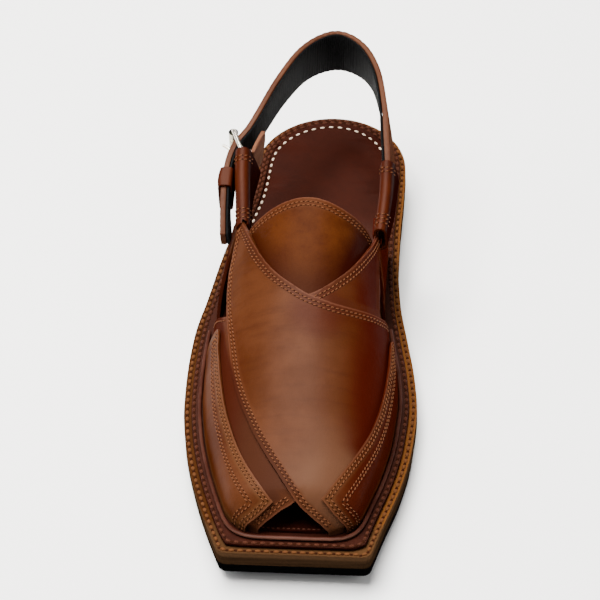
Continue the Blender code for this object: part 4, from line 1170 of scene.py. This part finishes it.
def make_stitches(colours, sizes):
    """All rows of stitches with dark needle holes of painted shade between them."""
    tan = thread("tan_thread_finish", colours.thread, colours.thread_deep)
    dark = thread("welt_thread_finish", colours.welt_thread, colours.welt_deep)
    amber = thread("sole_thread_finish", colours.sole_thread, colours.thread_deep)
    cream = thread("bed_thread_finish", colours.bed_thread, colours.bed_thread_deep)
    lip = thread("lip_thread_finish", colours.lip_thread, colours.welt_thread)
    hole = plain_leather("needle_hole_shade_finish", colours.hole, colours.hole, 0.8, grain_size=1.0, depth=0.01, coat=0.0)
    fine = base_stitch("fine_stitch", sizes.stitch, sizes.width, sizes.width * FINE_HEIGHT)
    coarse = base_stitch("coarse_stitch", sizes.sole_stitch, sizes.sole_width, sizes.sole_width * COARSE_HEIGHT)
    bed, dot, big_dot = (
        base_stitch(name, *(side * MM for side in box))
        for name, box in (("bed_stitch", BED_STITCH), ("needle_hole", NEEDLE_HOLE), ("awl_hole", AWL_HOLE))
    )
    for name, places in (upper_rows(sizes) | loop_rows(sizes)).items():
        sew_row(name, places, sizes.pitch, fine, UPPER_LIFT, tan, dot, hole, "vamp_leather", SLANT)
    looks = {
        "sole_thread": (coarse, amber, big_dot, "sole_leather"),
        "welt_thread": (coarse, dark, big_dot, "welt_leather"),
        "seat_thread": (coarse, dark, big_dot, "welt_leather"),
        "bed_thread": (bed, cream, big_dot, "footbed_leather"),
        "lip_thread": (fine, lip, dot, "footbed_leather"),
    }
    for name, places, pitch in sole_rows(sizes):
        stitch, material, gap, slot = looks[name]
        sew_row(name, places, pitch, stitch, SOLE_LIFT, material, gap, hole, slot)
    for base in (fine, coarse, bed, dot, big_dot):
        bpy.data.objects.remove(base)


# ---------------------------------------------------------------- stage

CAMERA_PLACE = (0.0994, -0.9978, 1.0790)
CAMERA_AIM = (-0.0029, 0.0012, 0.035)
CAMERA_ROLL = math.radians(-2.53)
CAMERA_LENS = 180.0
SENSOR_WIDTH = 36.0
FLOOR_SIZE = 6.0
FLOOR_DROP = -0.0002            # keeps the floor just under the sole
FLOOR_SHADE = (0.80, 0.79, 0.78)
SKY = (0.95, 0.97, 1.0, 1.0)
SKY_STRENGTH = 0.26
LIGHT_AIM = (0.0, 0.0, 0.03)
LIGHTS = (
    # name, place, width and height, watts, colour
    ("key_light", (-0.35, 0.25, 1.70), (1.5, 1.1), 165.0, (1.0, 0.98, 0.95)),
    ("side_light", (-1.30, 0.15, 0.95), (0.7, 0.7), 6.0, (0.97, 0.98, 1.0)),
    ("fill_light", (1.20, -0.70, 1.20), (0.9, 0.9), 8.0, (1.0, 0.98, 0.95)),
)


def aimed(obj, aim, roll=0.0):
    """Points an object's -Z at a place, turned about that line."""
    way = Vector(aim) - obj.location
    turn = way.to_track_quat("-Z", "Y").to_matrix().to_4x4() @ Matrix.Rotation(roll, 4, "Z")
    obj.rotation_euler = turn.to_euler()


def make_stage(colours):
    """The floor, the lights and the camera."""
    deselect()
    bpy.ops.mesh.primitive_plane_add(size=FLOOR_SIZE, location=(0, 0, FLOOR_DROP))
    floor = bpy.context.object
    floor.name = "floor"
    bpy.ops.object.transform_apply(location=True)
    f = Finish("floor_finish")
    tone = f.mix(f.noise(3.0, 2.0, 0.5) * 0.06, colours.floor, FLOOR_SHADE)
    dress(floor, f.surface(base_color=tone, roughness=0.6))
    world = bpy.context.scene.world or bpy.data.worlds.new("studio")
    bpy.context.scene.world = world
    world.use_nodes = True
    background = world.node_tree.nodes["Background"]
    background.inputs["Color"].default_value = SKY
    background.inputs["Strength"].default_value = SKY_STRENGTH
    for name, place, size, power, tint in LIGHTS:
        deselect()
        bpy.ops.object.light_add(type="AREA", location=place)
        lamp = bpy.context.object
        lamp.name = name
        lamp.data.shape = "RECTANGLE"
        lamp.data.size, lamp.data.size_y = size
        lamp.data.energy = power
        lamp.data.color = tint
        aimed(lamp, LIGHT_AIM)
    deselect()
    bpy.ops.object.camera_add(location=CAMERA_PLACE)
    camera = bpy.context.object
    camera.name = "camera"
    camera.data.lens = CAMERA_LENS
    camera.data.sensor_width = SENSOR_WIDTH
    camera.data.clip_start = 0.05
    camera.data.clip_end = 20.0
    aimed(camera, CAMERA_AIM, CAMERA_ROLL)
    bpy.context.scene.camera = camera


# ---------------------------------------------------------------- operators and panel


class CHAPPAL_OT_sole(bpy.types.Operator):
    """Dress the outsole, heel, leather sole, welt and rolled seam"""

    bl_idname = "chappal.sole"
    bl_label = "Sole"

    def execute(self, context):
        make_sole(context.scene.chappal_colours)
        return {"FINISHED"}


class CHAPPAL_OT_footbed(bpy.types.Operator):
    """Dress the footbed"""

    bl_idname = "chappal.footbed"
    bl_label = "Footbed"

    def execute(self, context):
        make_footbed(context.scene.chappal_colours)
        return {"FINISHED"}


class CHAPPAL_OT_upper(bpy.types.Operator):
    """Dress the crossed panels, the tongue and the wings"""

    bl_idname = "chappal.upper"
    bl_label = "Upper"

    def execute(self, context):
        make_upper(context.scene.chappal_colours)
        return {"FINISHED"}


class CHAPPAL_OT_side_loops(bpy.types.Operator):
    """Dress the side loops, the keeper and the suede tab"""

    bl_idname = "chappal.side_loops"
    bl_label = "Side loops"

    def execute(self, context):
        make_side_loops(context.scene.chappal_colours)
        return {"FINISHED"}


class CHAPPAL_OT_heel_strap(bpy.types.Operator):
    """Dress the heel strap and its webbing"""

    bl_idname = "chappal.heel_strap"
    bl_label = "Heel strap"

    def execute(self, context):
        make_heel_strap(context.scene.chappal_colours)
        return {"FINISHED"}


class CHAPPAL_OT_buckle(bpy.types.Operator):
    """Dress the buckle's wire, roller and pin"""

    bl_idname = "chappal.buckle"
    bl_label = "Buckle"

    def execute(self, context):
        make_buckle(context.scene.chappal_colours)
        return {"FINISHED"}


class CHAPPAL_OT_stitches(bpy.types.Operator):
    """Sew all the rows of stitches"""

    bl_idname = "chappal.stitches"
    bl_label = "Stitches"

    def execute(self, context):
        make_stitches(context.scene.chappal_colours, context.scene.chappal_sizes)
        return {"FINISHED"}


class CHAPPAL_OT_stage(bpy.types.Operator):
    """Set the floor, the lights and the camera"""

    bl_idname = "chappal.stage"
    bl_label = "Stage"

    def execute(self, context):
        make_stage(context.scene.chappal_colours)
        return {"FINISHED"}


STEPS = (
    CHAPPAL_OT_stage,
    CHAPPAL_OT_sole,
    CHAPPAL_OT_footbed,
    CHAPPAL_OT_upper,
    CHAPPAL_OT_side_loops,
    CHAPPAL_OT_heel_strap,
    CHAPPAL_OT_buckle,
    CHAPPAL_OT_stitches,
)


class CHAPPAL_PT_sidebar(bpy.types.Panel):
    """The steps of the dressing, with their sizes and colours"""

    bl_idname = "CHAPPAL_PT_sidebar"
    bl_label = "Chappal"
    bl_space_type = "VIEW_3D"
    bl_region_type = "UI"
    bl_category = "Chappal"

    def draw(self, context):
        for step in STEPS:
            self.layout.operator(step.bl_idname)
        for group in (context.scene.chappal_sizes, context.scene.chappal_colours):
            for name in group.__annotations__:
                self.layout.prop(group, name)


CLASSES = (ChappalColours, ChappalSizes, *STEPS, CHAPPAL_PT_sidebar)


def register():
    for cls in CLASSES:
        bpy.utils.register_class(cls)
    bpy.types.Scene.chappal_colours = bpy.props.PointerProperty(type=ChappalColours)
    bpy.types.Scene.chappal_sizes = bpy.props.PointerProperty(type=ChappalSizes)


def unregister():
    del bpy.types.Scene.chappal_sizes
    del bpy.types.Scene.chappal_colours
    for cls in reversed(CLASSES):
        bpy.utils.unregister_class(cls)


def main():
    register()
    for step in STEPS:
        group, name = step.bl_idname.split(".")
        getattr(getattr(bpy.ops, group), name)()


if __name__ == "__main__":
    main()
